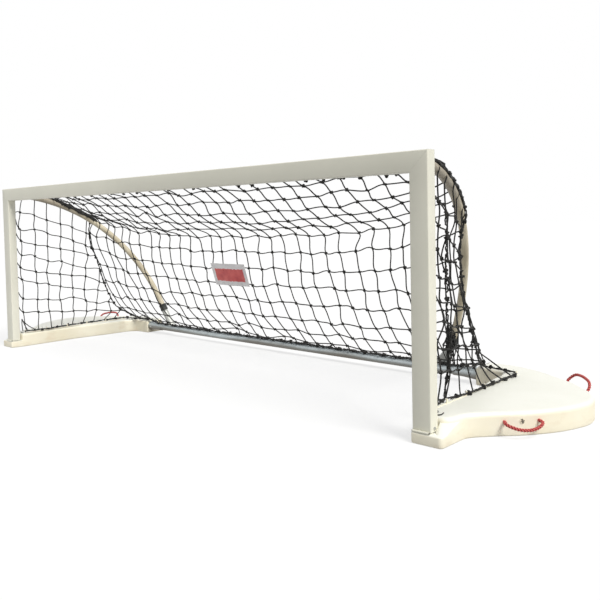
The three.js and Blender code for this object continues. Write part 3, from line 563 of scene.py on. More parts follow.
def float_outline(front_cuts):
    outer = spline_2d([float_place(s) for s in OUTER_SHARES])
    flat_end = float_place(TAIL_FRONT)
    tail_front = np.array((TAIL_X, flat_end[1], 0))
    tail_back = np.array((TAIL_X, FLOAT_FRONT_Y + FLOAT_LENGTH, 0))
    inner = [tail_front] + spline_2d([flat_end] + [float_place(s) for s in INNER_SHARES])
    front = float_place((0, 0))
    past = next(k for k, point in enumerate(outer) if point[1] > FLOAT_FRONT_Y + PAST_CORNER)
    outline = [front + (0, BEHIND_CORNER, 0)]
    outline += rounded_corner(inner[-1], front, outer[0], PLAN_CUT / 2, PLAN_CUT / 2)
    outline += [POST_SIDE, RAMP_SIDE]
    outline += rounded_corner(front, outer[0], outer[past], *front_cuts, 10)
    outline += outer[past:-1]
    outline += rounded_corner(outer[-2], tail_back, tail_front, PLAN_CUT, PLAN_CUT)
    outline += rounded_corner(tail_back, tail_front, inner[1], PLAN_CUT, PLAN_CUT)
    outline += inner[1:-1]
    line = np.array(outline)
    line[:, 1] += FRONT_Y
    return line


OUTLINE = float_outline(DECK_FRONT_CUTS)
FOOT_OUTLINE = float_outline(FOOT_FRONT_CUTS)


def wall_frame(share):
    near = float_place(share) + (0, FRONT_Y, HANDLE_HEIGHT)
    closest = int(np.argmin(np.linalg.norm(OUTLINE[:, :2] - near[:2], axis=1)))
    wall = OUTLINE[(closest + 6) % len(OUTLINE)] - OUTLINE[closest - 6]
    along = unit(np.array((wall[0], wall[1], 0)))
    return near, along, np.array((along[1], -along[0], 0))


def rope_line(share, route):
    near, along, out = wall_frame(share)
    ends = [(-HANDLE_HALF_SPAN, -ROPE_SEAT, 0), (-HANDLE_HALF_SPAN, 0, 0)]
    back = [(HANDLE_HALF_SPAN, 0, 0), (HANDLE_HALF_SPAN, -ROPE_SEAT, 0)]
    points = [near + along * a + out * o + np.array((0, 0, u)) for a, o, u in ends + route + back]
    return catmull(points, 8)


def make_rope_handles():
    # Painted shade: how deep each vertex lies between the strands, which darkens the rope's colour in its
    # grooves.
    depth = np.tile(valleys(ROPE_STRANDS, ROPE_SIDES) ** GROOVE_SHADE_POWER, ROPE_STEPS)
    for name, (share, route) in HANDLES.items():
        line = rope_line(share, route)
        shape = tube_shape(evenly(line, ROPE_STEPS), ROPE_RADIUS * ROPE_FULLNESS, ROPE_SIDES,
                           ROPE_LAY_TURNS, ROPE_STRANDS, STRAND_DEPTH)
        made = pair(name, shape, red_rope, "base", "rope", name, flat_angle=80)
        for rope, sign in zip(made, SIDES.values()):
            groove_shading = rope.data.attributes.new(GROOVE_SHADE, "FLOAT", "POINT")
            groove_shading.data.foreach_set("value", depth)


make_rope_handles()


# Floats: one moulding each, with a foot that runs forward under the post
DECK_RADIUS = 0.018
BASE_RADIUS = 0.007
FOOT_HEIGHT = 0.04
FOOT_LIP = 0.01
FOOT_SIDE_X = 1.622
OUTLINE_FRONT_X = 1.6146
FOOT_EDGE = 0.006
FOOT_FILLET = 0.003
CORE_INSET = 0.0056
FOOT_INSET = 0.012
FOOT_REACH = FLOAT_FRONT_Y + FOOT_LIP
INNER_BLEND = (1.5, 1.53)
OUTER_BLEND = (1.58, 1.6)
RAMP_START = (0.52, 0.12)
RAMP_BLEND = 0.002


def ring_inset(line, inset):
    """The outline drawn in by an inset, in plan."""
    edge = (np.roll(line, -1, axis=0) - line)[:, :2]
    inward = unit(np.stack((-edge[:, 1], edge[:, 0]), axis=1))
    normal = unit(inward + np.roll(inward, 1, axis=0))
    reach = np.clip(np.abs(np.sum(normal * inward, axis=1)), 0.6, 1)
    moved = line.copy()
    moved[:, :2] += normal * (inset / reach)[:, None]
    return moved


def foot_line():
    """The outline at the floor, its front edge run forward under the post."""
    line = FOOT_OUTLINE.copy()
    back = line[:, 1] - FRONT_Y
    inner = 1 - smoothstep(line[:, 0], *INNER_BLEND)
    outer = smoothstep(line[:, 0], *OUTER_BLEND)
    gone = FLOAT_FRONT_Y + mix(0.04, BEHIND_CORNER - 0.001, inner)
    weight = 1 - smoothstep(back, gone - mix(0.028, 0.001, inner), gone)
    line[:, 1] -= FOOT_REACH * weight
    line[:, 0] += weight * (outer * (FOOT_SIDE_X - OUTLINE_FRONT_X) + inner * FOOT_INSET)
    return line


def raised(line, height):
    line = line.copy()
    line[:, 2] = height
    return line


def quarter(count):
    """Along a rounded edge: the share that is left to its end, and the share that is rounded off."""
    return [(1 - math.sin(a), 1 - math.cos(a)) for a in np.linspace(0, math.pi / 2, count)]


def float_rings():
    """From the floor up: rounded base, foot with its rounded edge, wall or ramp, rounded deck."""
    foot = foot_line()
    rings = [raised(ring_inset(foot, BASE_RADIUS * left), BASE_RADIUS * off) for left, off in quarter(4)]
    for left, off in quarter(5):
        share = FOOT_EDGE * off / FOOT_REACH
        rings.append(raised(mix(foot, OUTLINE, share), FOOT_HEIGHT - FOOT_EDGE * left))
    beside = smoothstep(OUTLINE[:, 0], POST_SIDE[0], RAMP_SIDE[0])
    ramp_start = mix(*RAMP_START, smoothstep(OUTLINE[:, 0], RAMP_SIDE[0], RAMP_SIDE[0] + RAMP_BLEND))
    rise = FLOAT_HEIGHT - DECK_RADIUS - FOOT_HEIGHT
    for step, (left, off) in zip(np.linspace(0, 1, 6), quarter(6)):
        share = mix(1 - FOOT_FILLET * left / FOOT_REACH, mix(ramp_start, 1, step), beside)
        height = mix(FOOT_FILLET * off, rise * step, beside)
        rings.append(raised(mix(foot, OUTLINE, share[:, None]), FOOT_HEIGHT + height))
    for left, off in quarter(9):
        rings.append(raised(ring_inset(OUTLINE, DECK_RADIUS * off), FLOAT_HEIGHT - DECK_RADIUS * left))
    return rings


def core_shape():
    core, top = ring_inset(OUTLINE, CORE_INSET), ring_inset(OUTLINE, DECK_RADIUS)
    return stacked([raised(core, CORE_INSET), raised(core, FLOAT_HEIGHT - DECK_RADIUS),
                    raised(top, FLOAT_HEIGHT - CORE_INSET)])


def stacked(rings):
    """A solid through closed rings, capped at both ends."""
    count = len(OUTLINE)
    base, top = (tessellate_polygon([[Vector((x, y, 0)) for x, y, z in rings[k]]]) for k in (0, -1))
    faces = skin_faces(len(rings), count)
    faces += [tuple(reversed(cap)) for cap in base]
    faces += [tuple((len(rings) - 1) * count + i for i in cap) for cap in top]
    return Shape().add(np.concatenate(rings), faces)


pair("float_shell", stacked(float_rings()), float_plastic, "base", "float", "float", flat_angle=50)
pair("float_core", core_shape(), foam, "base", "foam", "foam_core")


# Frame: posts and crossbar with mitred corners
MITRE_GAP = 0.0002


def rounded_rectangle(width, height, radius, steps=4):
    outline = []
    for cx, cy, start in ((1, -1, -90), (1, 1, 0), (-1, 1, 90), (-1, -1, 180)):
        for k in range(steps + 1):
            angle = math.radians(start + 90 * k / steps)
            outline.append((cx * (width / 2 - radius) + radius * math.cos(angle),
                            cy * (height / 2 - radius) + radius * math.sin(angle)))
    return outline


def member_shape(place, section, low, high):
    """A straight member: place(a, b, along) puts its section; low and high cut its ends."""
    return capped([place(a, b, end(a)) for end in (low, high) for a, b in section], len(section))


def make_frame():
    section = rounded_rectangle(FRAME_FACE, FRAME_DEPTH, FRAME_EDGE)
    middle_y = FRAME_DEPTH / 2
    post = member_shape(lambda a, b, z: at(POST_CENTRE_X + a, middle_y + b, z), section,
                        lambda a: POST_BOTTOM, lambda a: BAR_CENTRE_Z + a - MITRE_GAP)
    pair("post_skin", post, frame_paint, "goal_face", "frame", "post")
    reach = POST_CENTRE_X - MITRE_GAP
    bar = member_shape(lambda a, b, x: at(x, middle_y + b, BAR_CENTRE_Z + a), section,
                       lambda a: -(reach + a), lambda a: reach + a)
    piece("crossbar_skin", bar, frame_paint, "goal_face", "frame", "crossbar")


make_frame()


# Arms, their sockets and the rear tube
ARM_TOP_X = 1.515
ARM_SWEEP = 0.366
ARM_POWER = 1.28
ARM_RADIUS = 0.957
ARM_CENTRE_Y = -0.029
ARM_CENTRE_Z = 0.026
PIVOT_Y = 0.076
ARM_START = math.asin((PIVOT_Y - ARM_CENTRE_Y) / ARM_RADIUS)
ARM_END = math.radians(79)
EYE_LENGTH = 0.044
SOCKET_INWARD = 0.036
SOCKET_BEHIND = 0.015
COLLAR_GAP = 0.0005
COLLAR_PROFILE = [(0, 0), (0.023, 0), (0.025, 0.002), (0.025, 0.01), (0.0238, 0.012), (0.0238, 0.031),
                  (0.025, 0.033), (0.025, 0.042), (0.023, 0.044), (0.0213, 0.044), (0.0213, 0.016),
                  (0, 0.016)]
STUB_START = 0.017
STUB_NECK = 0.058
STUB_RADIUS, STUB_FLARE = 0.0208, 0.0035
TUBE_REACH = TAIL_X + 0.145
SLEEVE_START_X = TAIL_X - 0.13
SLEEVE_PROFILE = [(0.0213, 0), (0.0243, 0), (0.0245, 0.0015), (0.0245, 0.05), (0.031, 0.128),
                  (0.0305, 0.1297), (0.0213, 0.1297)]


def arm_point(angle):
    share = max(0, (angle - ARM_START) / (ARM_END - ARM_START))
    return at(ARM_TOP_X - ARM_SWEEP * share**ARM_POWER, ARM_CENTRE_Y + ARM_RADIUS * math.sin(angle),
              ARM_CENTRE_Z + ARM_RADIUS * math.cos(angle))


def arm_line(start=ARM_START + EYE_LENGTH / ARM_RADIUS, end=ARM_END, count=72):
    return np.array([arm_point(a) for a in np.linspace(start, end, count)])


def make_arms():
    line = arm_line()
    pair("arm_bow", tube_shape(line, ARM_TUBE_RADIUS, 28), arm_paint, "SIDE_arm", "arm", "arm_tube")
    direction = unit(line[-1] - line[-2])
    start = line[-1] + direction * COLLAR_GAP
    collar = lathe_shape(COLLAR_PROFILE, start, direction)
    pair("socket_collar", collar, black_rubber, "base", "rubber", "arm_collar")
    neck = start + direction * STUB_NECK
    foot = start + direction * ((start[2] - TUBE_Z) / -direction[2])
    foot[0] -= SOCKET_INWARD
    foot[1] = TUBE_Y + FRONT_Y + SOCKET_BEHIND
    way = unit(foot - neck)
    bend = mix(neck - direction * 0.003, neck + way * 0.003, 0.5)
    route = catmull([start + direction * STUB_START, neck - direction * 0.016, bend, neck + way * 0.018,
                     mix(neck, foot, 0.6), foot], 8)
    share = lengths_along(route) / lengths_along(route)[-1]
    reach = STUB_RADIUS + STUB_FLARE * smoothstep(share, 0.45, 0.85)
    pair("socket_stub", tube_shape(route, reach, 32), socket_metal, "base", "arm", "arm_socket")


def make_rear_tube():
    profile = [(0, 0), (TUBE_RADIUS, 0), (TUBE_RADIUS, 2 * TUBE_REACH), (0, 2 * TUBE_REACH)]
    tube = lathe_shape(profile, at(-TUBE_REACH, TUBE_Y, TUBE_Z), (1, 0, 0))
    piece("rear_tube_skin", tube, tube_metal, "base", "tube", "rear_tube")
    sleeve = lathe_shape(SLEEVE_PROFILE, at(SLEEVE_START_X, TUBE_Y, TUBE_Z), (1, 0, 0))
    pair("sleeve_skin", sleeve, tube_metal, "base", "tube", "tube_sleeve")


make_arms()
make_rear_tube()


# Net: where its edges run
NET_TOP_Y = TRACK_REAR_Y + 0.0031
NET_TOP_X = 1.478
RAIL_X = 1.497
BORDER_Z = 0.0966
BORDER_TUBE_Y = 0.903
BORDER_TUBE_Z = 0.0742
RISE_OUTER = 1.275
RISE_INNER = 1.16
RAIL_WANDER = [
    (1.501, 0.08), (1.499, 0.17), (1.483, 0.25), (1.494, 0.3), (1.504, 0.36), (1.511, 0.45), (1.507, 0.53),
    (1.513, 0.62), (1.509, 0.7), (1.514, 0.76), (1.511, 0.805), (1.497, 0.828), (1.468, 0.84),
    (1.42, 0.848), (1.372, 0.858), (1.33, 0.872), (1.305, 0.882),
]
RAIL_END_Y = 0.887
BORDER_WAVE, BORDER_WAVE_RATE = 0.003, 37
ARM_DRAPE = ARM_TUBE_RADIUS + 0.006
ARM_DRAPE_OUT = 0.01
DRAPE_ANGLES = (12, 18, 24, 30, 36)
DRAPE_FOLDS = {
    "right": ((13, 37, -34), (12, 37, 44), (13, 36, -64)),
    "left": ((19, 37, -36), (12, 37, 44), (20, 37, -58), (23, 36, -78)),
}
FOLD_TWIST = 9
FOLD_REACH = ARM_TUBE_RADIUS + 0.0045
DRAPE_SPREAD = {"right": (0.006, 0.006), "left": (0.002, 0.005)}
DRAPE_TWINE = {"right": 0.004, "left": 0.0032}
HANG = {
    "right": [(1.426, 0.54, 0.805), (1.424, 0.524, 0.765), (1.41, 0.518, 0.7), (1.4, 0.53, 0.6),
              (1.393, 0.555, 0.5), (1.385, 0.6, 0.4), (1.376, 0.655, 0.31), (1.36, 0.72, 0.22),
              (1.34, 0.8, 0.15), (1.32, 0.878, 0.103)],
    "left": [(1.426, 0.54, 0.805), (1.425, 0.524, 0.765), (1.42, 0.52, 0.71), (1.42, 0.535, 0.62),
             (1.42, 0.57, 0.54), (1.42, 0.605, 0.42), (1.42, 0.655, 0.3), (1.42, 0.705, 0.21),
             (1.42, 0.79, 0.15), (1.41, 0.872, 0.103)],
}


def beside_arm(degrees, around, reach):
    """A point on the arm's surface: around is 0 on its upper side and grows outwards."""
    angle, turn = math.radians(degrees), math.radians(around)
    upper = np.array((0, math.sin(angle), math.cos(angle)))
    return arm_point(angle) + reach * (math.cos(turn) * upper + math.sin(turn) * np.array((1, 0, 0)))


def drape_line():
    """Over the arm's top, from the crossbar to where the edge leaves the arm."""
    points = [at(NET_TOP_X, NET_TOP_Y + 0.004, BAR_CENTRE_Z)]
    for degrees in DRAPE_ANGLES:
        out = ARM_DRAPE_OUT * degrees / DRAPE_ANGLES[-1]
        points.append(beside_arm(degrees, 0, ARM_DRAPE) + (out, 0, 0))
    return catmull(points, 12)


DRAPE = drape_line()
HANGING = {side: catmull([DRAPE[-1]] + [at(*p) for p in points], 12) for side, points in HANG.items()}
RISING = {side: line[np.argsort(line[:, 2])] for side, line in HANGING.items()}


def border_height(x):
    return mix(BORDER_TUBE_Z, BORDER_Z, smoothstep(abs(x), RISE_INNER, RISE_OUTER))


def border_line():
    right = [at(x, y, BORDER_Z) for x, y in RAIL_WANDER]
    for x in np.linspace(RISE_OUTER, RISE_INNER, 5):
        y = mix(RAIL_END_Y, BORDER_TUBE_Y, smoothstep(-x, -RISE_OUTER, -RISE_INNER))
        right.append(at(x, y, border_height(x)))
    for x in np.linspace(RISE_INNER, 0, 14)[1:]:
        wave = BORDER_WAVE * math.sin(BORDER_WAVE_RATE * x)
        right.append(at(x, BORDER_TUBE_Y + wave, BORDER_TUBE_Z))
    left = [point * (-1, 1, 1) for point in right[:-1]]
    return catmull(right + left[::-1], 10)


# Net surfaces
COLUMNS = 31
ROOF_ROWS = 7
BACK_ROWS = 8
ROWS = ROOF_ROWS + BACK_ROWS
ROOF_PROFILE = [(NET_TOP_Y, BAR_CENTRE_Z), (0.145, 0.958), (0.225, 0.928), (0.295, 0.875), (0.37, 0.812),
                (0.45, 0.768), (0.585, 0.7)]
BACK_PROFILE = [(0.585, 0.7), (0.6, 0.618), (0.607, 0.536), (0.63, 0.448), (0.66, 0.368),
                (0.692, 0.288), (0.745, 0.21), (0.805, 0.145), (0.87, 0.075)]
SEAT_Y = BORDER_TUBE_Y - 0.008
FLAT_SHARE = 0.7
COLUMN_REACH = 1.5
BELLY_POWER = 3.4
SETTLE_POWER = 8
EDGE_STANDOFF = 0.006
TIE_FIRST_X, TIE_LAST_X = -0.9, 1.42
TIE_SPACING = 0.098
TIE_Y = 0.066
TIE_Z = 0.9392
TIE_CHANCE = 0.6
HUG_WIDTH, HUG_EDGE = 0.07, 0.008
HUG_DROP = 0.035
ROOF, BACK = (catmull([at(0, y, z) for y, z in profile], 10) for profile in (ROOF_PROFILE, BACK_PROFILE))


def main_net_place(across, row):
    """across runs from -1 at the left edge to 1 at the right one."""
    side, sign = ("right", 1) if across >= 0 else ("left", -1)
    if row <= ROOF_ROWS:
        edge, middle = on_line(DRAPE, row / ROOF_ROWS), on_line(ROOF, row / ROOF_ROWS)
    else:
        share = (row - ROOF_ROWS) / BACK_ROWS
        edge, middle = on_line(HANGING[side], share), on_line(BACK, share)
    reach = edge[0] - EDGE_STANDOFF
    out = abs(across)
    x = COLUMN_REACH * min(out, FLAT_SHARE)
    if out > FLAT_SHARE:
        x = mix(x, reach, (out - FLAT_SHARE) / (1 - FLAT_SHARE))
    pulled = (x / reach) ** BELLY_POWER
    hug = math.exp(-(((reach - x) / HUG_WIDTH) ** 2)) - math.exp(-(((reach - x) / HUG_EDGE) ** 2))
    hug *= smoothstep(row, 0.5, 2) * (1 - smoothstep(row, ROOF_ROWS - 0.5, ROOF_ROWS + 1))
    settle = (row / ROWS) ** SETTLE_POWER
    y = mix(mix(middle[1], edge[1], pulled), SEAT_Y + FRONT_Y, settle)
    z = mix(mix(middle[2], edge[2], pulled), border_height(x), settle) - HUG_DROP * hug
    return np.array((sign * x, y, z))


SIDE_PITCH_Y = 0.083
SIDE_FIRST_Y = 0.09
SIDE_PITCH_Z = 0.0925
SIDE_TOP_Z = 0.87
SIDE_SLOPE = 0.34
SIDE_SLOPE_POWER = 0.7
SIDE_POST_RISE = 0.03
SIDE_ROWS = 8
SIDE_COLUMNS = 9
SIDE_BOTTOM_Z = 0.098
SIDE_LEAST_STEP = 0.03
SIDE_LOW = (0.15, 0.6)
SIDE_BOW = (1.2, 4)
SIDE_SCATTER = 0.006


def side_row_height(row, y):
    start = SIDE_TOP_Z - SIDE_PITCH_Z * row
    height = (start - BORDER_Z) / (SIDE_TOP_Z - BORDER_Z)
    return start - SIDE_SLOPE * height**SIDE_SLOPE_POWER * (y - SIDE_FIRST_Y)


def edge_at_depth(side, y):
    """Where the side net's upper edge is at a distance behind the posts."""
    line = np.concatenate((DRAPE, HANGING[side][1:]))
    return where(y, np.maximum.accumulate(line[:, 1] - FRONT_Y + np.arange(len(line)) * 1e-6), line)


def side_place(side, y, z):
    """A point of the side net: out at the post and the deck, drawn in towards its edge cord."""
    edge = RISING[side] if z < DRAPE[-1, 2] else DRAPE[::-1]
    edge_x, edge_y, _ = where(z, edge[:, 2], edge)
    share = np.clip((y - NET_TOP_Y) / (edge_y - FRONT_Y - NET_TOP_Y), 0, 1)
    low = 1 - smoothstep(z, *SIDE_LOW)
    front = mix(POST_CENTRE_X, RAIL_X, low * smoothstep(y, NET_TOP_Y, 0.16))
    return np.array((mix(front, edge_x, share ** mix(*SIDE_BOW, low)), y + FRONT_Y, z))


# Knotted twine
TWINE_RADIUS = 0.003
KNOT_SIZE = 0.0024
KNOT_TWINE = 0.0033
TWINE_SIDES = 6
TWINE_STEPS = 6
KNOT_STEPS = 14
KNOT_SIDES = 5
LASHING_SIZE = 0.003
LEAN = (0.22, 0.16)
KNOT_SCATTER = (0.07, 0.06, 0.006)
luck = np.random.default_rng(7)
ARM_CENTRES = arm_line(ARM_START, ARM_END, 120)


def clear_of_arms(points, reach):
    """Twine that would run through an arm is moved to its surface."""
    points = np.array(points)
    for sign in SIDES.values():
        centres = ARM_CENTRES * (sign, 1, 1)
        away = points[:, None, :] - centres[None, :, :]
        distance = np.linalg.norm(away, axis=2)
        nearest = distance.argmin(axis=1)
        for k in np.nonzero(distance.min(axis=1) < reach)[0]:
            points[k] = centres[nearest[k]] + unit(away[k, nearest[k]]) * reach
    return points


def knot_shape(centre, scale, angles):
    """A small overhand knot, turned by two angles."""
    t = ring_angles(KNOT_STEPS)
    loop = np.stack((np.sin(t) + 2 * np.sin(2 * t), np.cos(t) - 2 * np.cos(2 * t), -np.sin(3 * t)), axis=1)
    turned = loop @ np.array(Matrix.Rotation(angles[0], 3, "Z") @ Matrix.Rotation(angles[1], 3, "X")).T
    line = centre + turned * scale
    along = unit(np.roll(line, -1, axis=0) - np.roll(line, 1, axis=0))
    side = unit(np.cross(along, line - centre + (0, 0, 1e-5)))
    vertices = rings_around(line, side, np.cross(along, side), KNOT_TWINE, ring_angles(KNOT_SIDES))
    return Shape().add(vertices, skin_faces(KNOT_STEPS, KNOT_SIDES, joined=True))


def twine_shape(points, crossing):
    """Twine through knots, which it crosses at a slant towards the other twine's direction."""
    leans = np.array(crossing) * luck.normal(*LEAN, len(points))[:, None]
    points = np.array(points)
    line = along_slopes(points, np.gradient(points, axis=0) + leans, np.ones(len(points)), TWINE_STEPS)
    return tube_shape(clear_of_arms(line, ARM_TUBE_RADIUS + TWINE_RADIUS), TWINE_RADIUS, TWINE_SIDES)


def main_net_shape():
    knots = np.array([[main_net_place(2 * i / COLUMNS - 1, j) for i in range(COLUMNS + 1)]
                      for j in range(ROWS + 1)])
    across, down = np.gradient(knots, axis=1), np.gradient(knots, axis=0)
    normal = unit(np.cross(across, down))
    moves = luck.normal(0, 1, knots.shape) * KNOT_SCATTER
    moved = across * moves[..., :1] + down * moves[..., 1:2] + normal * moves[..., 2:]
    knots[1:-1, 1:-1] += moved[1:-1, 1:-1]
    shape = Shape()
    for j in range(ROWS + 1):
        shape.join(twine_shape(knots[j], down[j]))
    for i in range(COLUMNS + 1):
        shape.join(twine_shape(knots[:, i], across[:, i]))
    for j in range(1, ROWS + 1):
        for centre in clear_of_arms(knots[j], ARM_TUBE_RADIUS + 2 * KNOT_SIZE):
            shape.join(knot_shape(centre, KNOT_SIZE, luck.uniform(0, 6, 2)))
    for x in np.arange(TIE_FIRST_X, TIE_LAST_X, TIE_SPACING):
        if luck.uniform() < TIE_CHANCE:
            hitch = at(x + luck.normal(0, 0.01), TIE_Y, TIE_Z + luck.normal(0, 0.0015))
            shape.join(knot_shape(hitch, KNOT_SIZE, luck.uniform(0, 6, 2)))
    return shape


def side_net_shape(side):
    """Columns hang at even distances behind the post and the edge cord cuts them off."""
    depths = [SIDE_FIRST_Y + SIDE_PITCH_Y * k for k in range(SIDE_COLUMNS)]
    edges = [edge_at_depth(side, y) for y in depths]
    knots = {}
    for j in range(SIDE_ROWS):
        for k, y in enumerate(depths):
            z = side_row_height(j, y)
            if edges[k][2] - z > SIDE_LEAST_STEP:
                knots[j, k] = side_place(side, y, z) + luck.normal(0, SIDE_SCATTER, 3)
    shape = Shape()
    rail_x, rail_y = zip(*RAIL_WANDER)
    down, back = np.array((0, 0, -SIDE_PITCH_Z)), np.array((0, SIDE_PITCH_Y, 0))
    for k, y in enumerate(depths):
        line = [edges[k]] + [knots[j, k] for j in range(SIDE_ROWS) if (j, k) in knots]
        line.append(at(np.interp(y, rail_y, rail_x), y, SIDE_BOTTOM_Z))
        shape.join(twine_shape(line, [back] * len(line)))
    for j in range(SIDE_ROWS):
        line = [at(POST_CENTRE_X, NET_TOP_Y, min(side_row_height(j, 0) + SIDE_POST_RISE, SIDE_TOP_Z))]
        line += [knots[j, k] for k in range(SIDE_COLUMNS) if (j, k) in knots]
        last_z = line[-1][2]
        if last_z < DRAPE[-1, 2] - SIDE_LEAST_STEP:
            line.append(where(last_z - 0.01, RISING[side][:, 2], RISING[side]))
        shape.join(twine_shape(line, [down] * len(line)))
    for centre in clear_of_arms(list(knots.values()), ARM_TUBE_RADIUS + 2 * KNOT_SIZE):
        shape.join(knot_shape(centre, KNOT_SIZE, luck.uniform(0, 6, 2)))
    return shape


# Bundled cords
CORD_SPREAD = 0.0026
BORDER_TWINE = 0.0024
BORDER_SPREAD = (0.0032, 0.0024)


def uneven(count):
    """Random rises and falls that follow one another smoothly."""
    return np.convolve(luck.normal(0, 1, count + 4), np.ones(5) / 5, "valid")


def bundle_shape(line, radius, spread, strands, turns, wobble):
    """Cords laid loosely side by side, winding round one another."""
    side, up = line_sides(line)
    winding = 2 * math.pi * turns * lengths_along(line)
    shape = Shape()
    for strand in range(strands):
        angle = 2 * math.pi * strand / strands + winding + wobble * 4 * uneven(len(line))
        reach = spread * (1 + wobble * uneven(len(line)))
        route = line + side * (np.cos(angle) * reach)[:, None] + up * (np.sin(angle) * reach)[:, None]
        shape.join(tube_shape(route, radius, 7))
    return shape


def lashings(line, spacing):
    """Knots of twine tied round a cord at even distances."""
    shape = Shape()
    count = int(lengths_along(line)[-1] / spacing)
    for k in range(count):
        place = on_line(line, (k + 0.5 + luck.normal(0, 0.12)) / count)
        for _ in range(2):
            shape.join(knot_shape(place + luck.normal(0, 0.002, 3), LASHING_SIZE, luck.uniform(0, 6, 2)))
    return shape


def tangle():
    """Slack loops of twine crumpled round a place."""
    shape = Shape()
    for _ in range(TANGLE_LOOPS):
        route = [TANGLE_PLACE + luck.normal(0, 1, 3) * TANGLE_SPREAD for _ in range(TANGLE_POINTS)]
        line = clear_of_arms(catmull(route, 7), ARM_TUBE_RADIUS + TWINE_RADIUS)
        shape.join(tube_shape(line, TWINE_RADIUS, TWINE_SIDES))
    return shape


def whiskers(line, spacing, length, radius, lift):
    """Short loose ends that stand off a cord."""
    shape = Shape()
    count = int(lengths_along(line)[-1] / spacing)
    for k in range(count):
        root = on_line(line, (k + luck.uniform(0, 1)) / count)
        way = unit(luck.normal(0, 1, 3) + np.array((0, 0, lift)))
        bend = unit(luck.normal(0, 1, 3))
        size = length * luck.uniform(0.5, 1.2)
        tip = root + way * size
        route = catmull([root, mix(root, tip, 0.5) + bend * size * 0.2, tip], 3)
        shape.join(tube_shape(route, np.linspace(radius, radius * 0.4, len(route)), 4))
    return shape


SLACK = (
    (1.5, 0.245, 0.8), (1.498, 0.252, 0.7), (1.496, 0.249, 0.6), (1.494, 0.256, 0.5),
    (1.493, 0.26, 0.4), (1.492, 0.266, 0.3), (1.488, 0.262, 0.19), (1.484, 0.25, 0.099),
)
POST_TIES = (
    ((1.503, 0.064, 0.178), (1.5, 0.08, 0.137), (1.499, 0.098, 0.099)),
    ((1.503, 0.064, 0.17), (1.497, 0.108, 0.126), (1.495, 0.15, 0.099)),
    ((1.504, 0.064, 0.178), (1.502, 0.063, 0.14), (1.502, 0.068, 0.097)),
)
LOOSE_ENDS = (
    ((1.5, 0.09, 0.0965), (1.514, 0.1, 0.0925), (1.52, 0.124, 0.0905), (1.537, 0.112, 0.0905),
     (1.546, 0.088, 0.0905), (1.56, 0.073, 0.0905), (1.566, 0.084, 0.0905), (1.562, 0.108, 0.0905)),
    ((1.502, 0.094, 0.0975), (1.512, 0.118, 0.0925), (1.508, 0.142, 0.0905), (1.498, 0.156, 0.0905)),
)
TANGLE_PLACE = at(1.142, 0.893, 0.186)
TANGLE_SPREAD = (0.016, 0.014, 0.038)
TANGLE_LOOPS = 9
TANGLE_POINTS = 9


def smooth_line(points, steps):
    return catmull([at(*p) for p in points], steps)


def soft_piece(name, shape, material, slot, replaced, **options):
    """A piece of the net that rides on the goal face, with a mesh of its own."""
    made = piece(name, shape, material, "goal_face", slot, replaced, **options)
    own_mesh(made)


def edge_cord_shape(word):
    """The net's gathered edge: over the arm, with its folds, then down to the tube."""
    spread = np.linspace(*DRAPE_SPREAD[word], 60)
    edge = bundle_shape(evenly(DRAPE, 60), DRAPE_TWINE[word], spread, 4, 5, 0.5)
    for start, end, around in DRAPE_FOLDS[word]:
        fold = catmull([beside_arm(a, around + FOLD_TWIST * math.sin(a), FOLD_REACH)
                        for a in np.linspace(start, end, 7)], 8)
        edge.join(bundle_shape(fold, TWINE_RADIUS, CORD_SPREAD, 2, 9, 0.5))
        edge.join(lashings(fold, 0.07))
    edge.join(bundle_shape(evenly(HANGING[word], 90), TWINE_RADIUS, CORD_SPREAD, 2, 12, 0.5))
    edge.join(lashings(DRAPE, 0.06)).join(lashings(HANGING[word], 0.085))
    if word == "right":
        edge.join(tangle())
        slack = smooth_line(SLACK, 14)
        edge.join(bundle_shape(slack, TWINE_RADIUS, 0.004, 2, 5, 0.8))
        edge.join(lashings(slack, 0.13))
    return edge


def border_shape():
    """The border cord along floats and rear tube, its loose ends and its ties to the posts."""
    line = evenly(border_line(), 620)
    on_deck = smoothstep(abs(line[:, 0]), RISE_INNER, RISE_OUTER)
    border = bundle_shape(line, BORDER_TWINE, mix(*BORDER_SPREAD, on_deck), 3, 14, 0.6)
    border.join(whiskers(line, 0.016, 0.018, 0.0009, 0.3))
    border.join(lashings(line, 0.092))
    for loose in LOOSE_ENDS:
        border.join(tube_shape(smooth_line(loose, 6), 0.0022, 6))
    for tie in POST_TIES:
        for sign in SIDES.values():
            route = smooth_line([(sign * x, y, z) for x, y, z in tie], 6)
            border.join(tube_shape(route, TWINE_RADIUS, 6))
    return border


def make_net():
    def cords(name, shape, replaced, side=1):
        soft_piece(name, shape, net_twine, "net", replaced, flat_angle=80, side=side)

    cords("net_sheet", main_net_shape(), "net_main")
    for word, sign in SIDES.items():
        cords(f"{word}_side_net_sheet", side_net_shape(word), f"{word}_side_net", sign)
        cords(f"{word}_edge_cord_sheet", edge_cord_shape(word), f"{word}_net_edge_cord", sign)
    cords("border_cord", border_shape(), "net_border_cord")


make_net()


# Sign: a bare sheet with a plain red field, tied to the mouth side of the net
SIGN_LEFT, SIGN_RIGHT = -0.245, 0.035
SIGN_TOP, SIGN_BOTTOM = np.array((0.59, 0.543)), np.array((0.628, 0.416))
SIGN_THICKNESS = 0.0016
SIGN_WAVE = 0.0025
SIGN_LEAN = 0.004


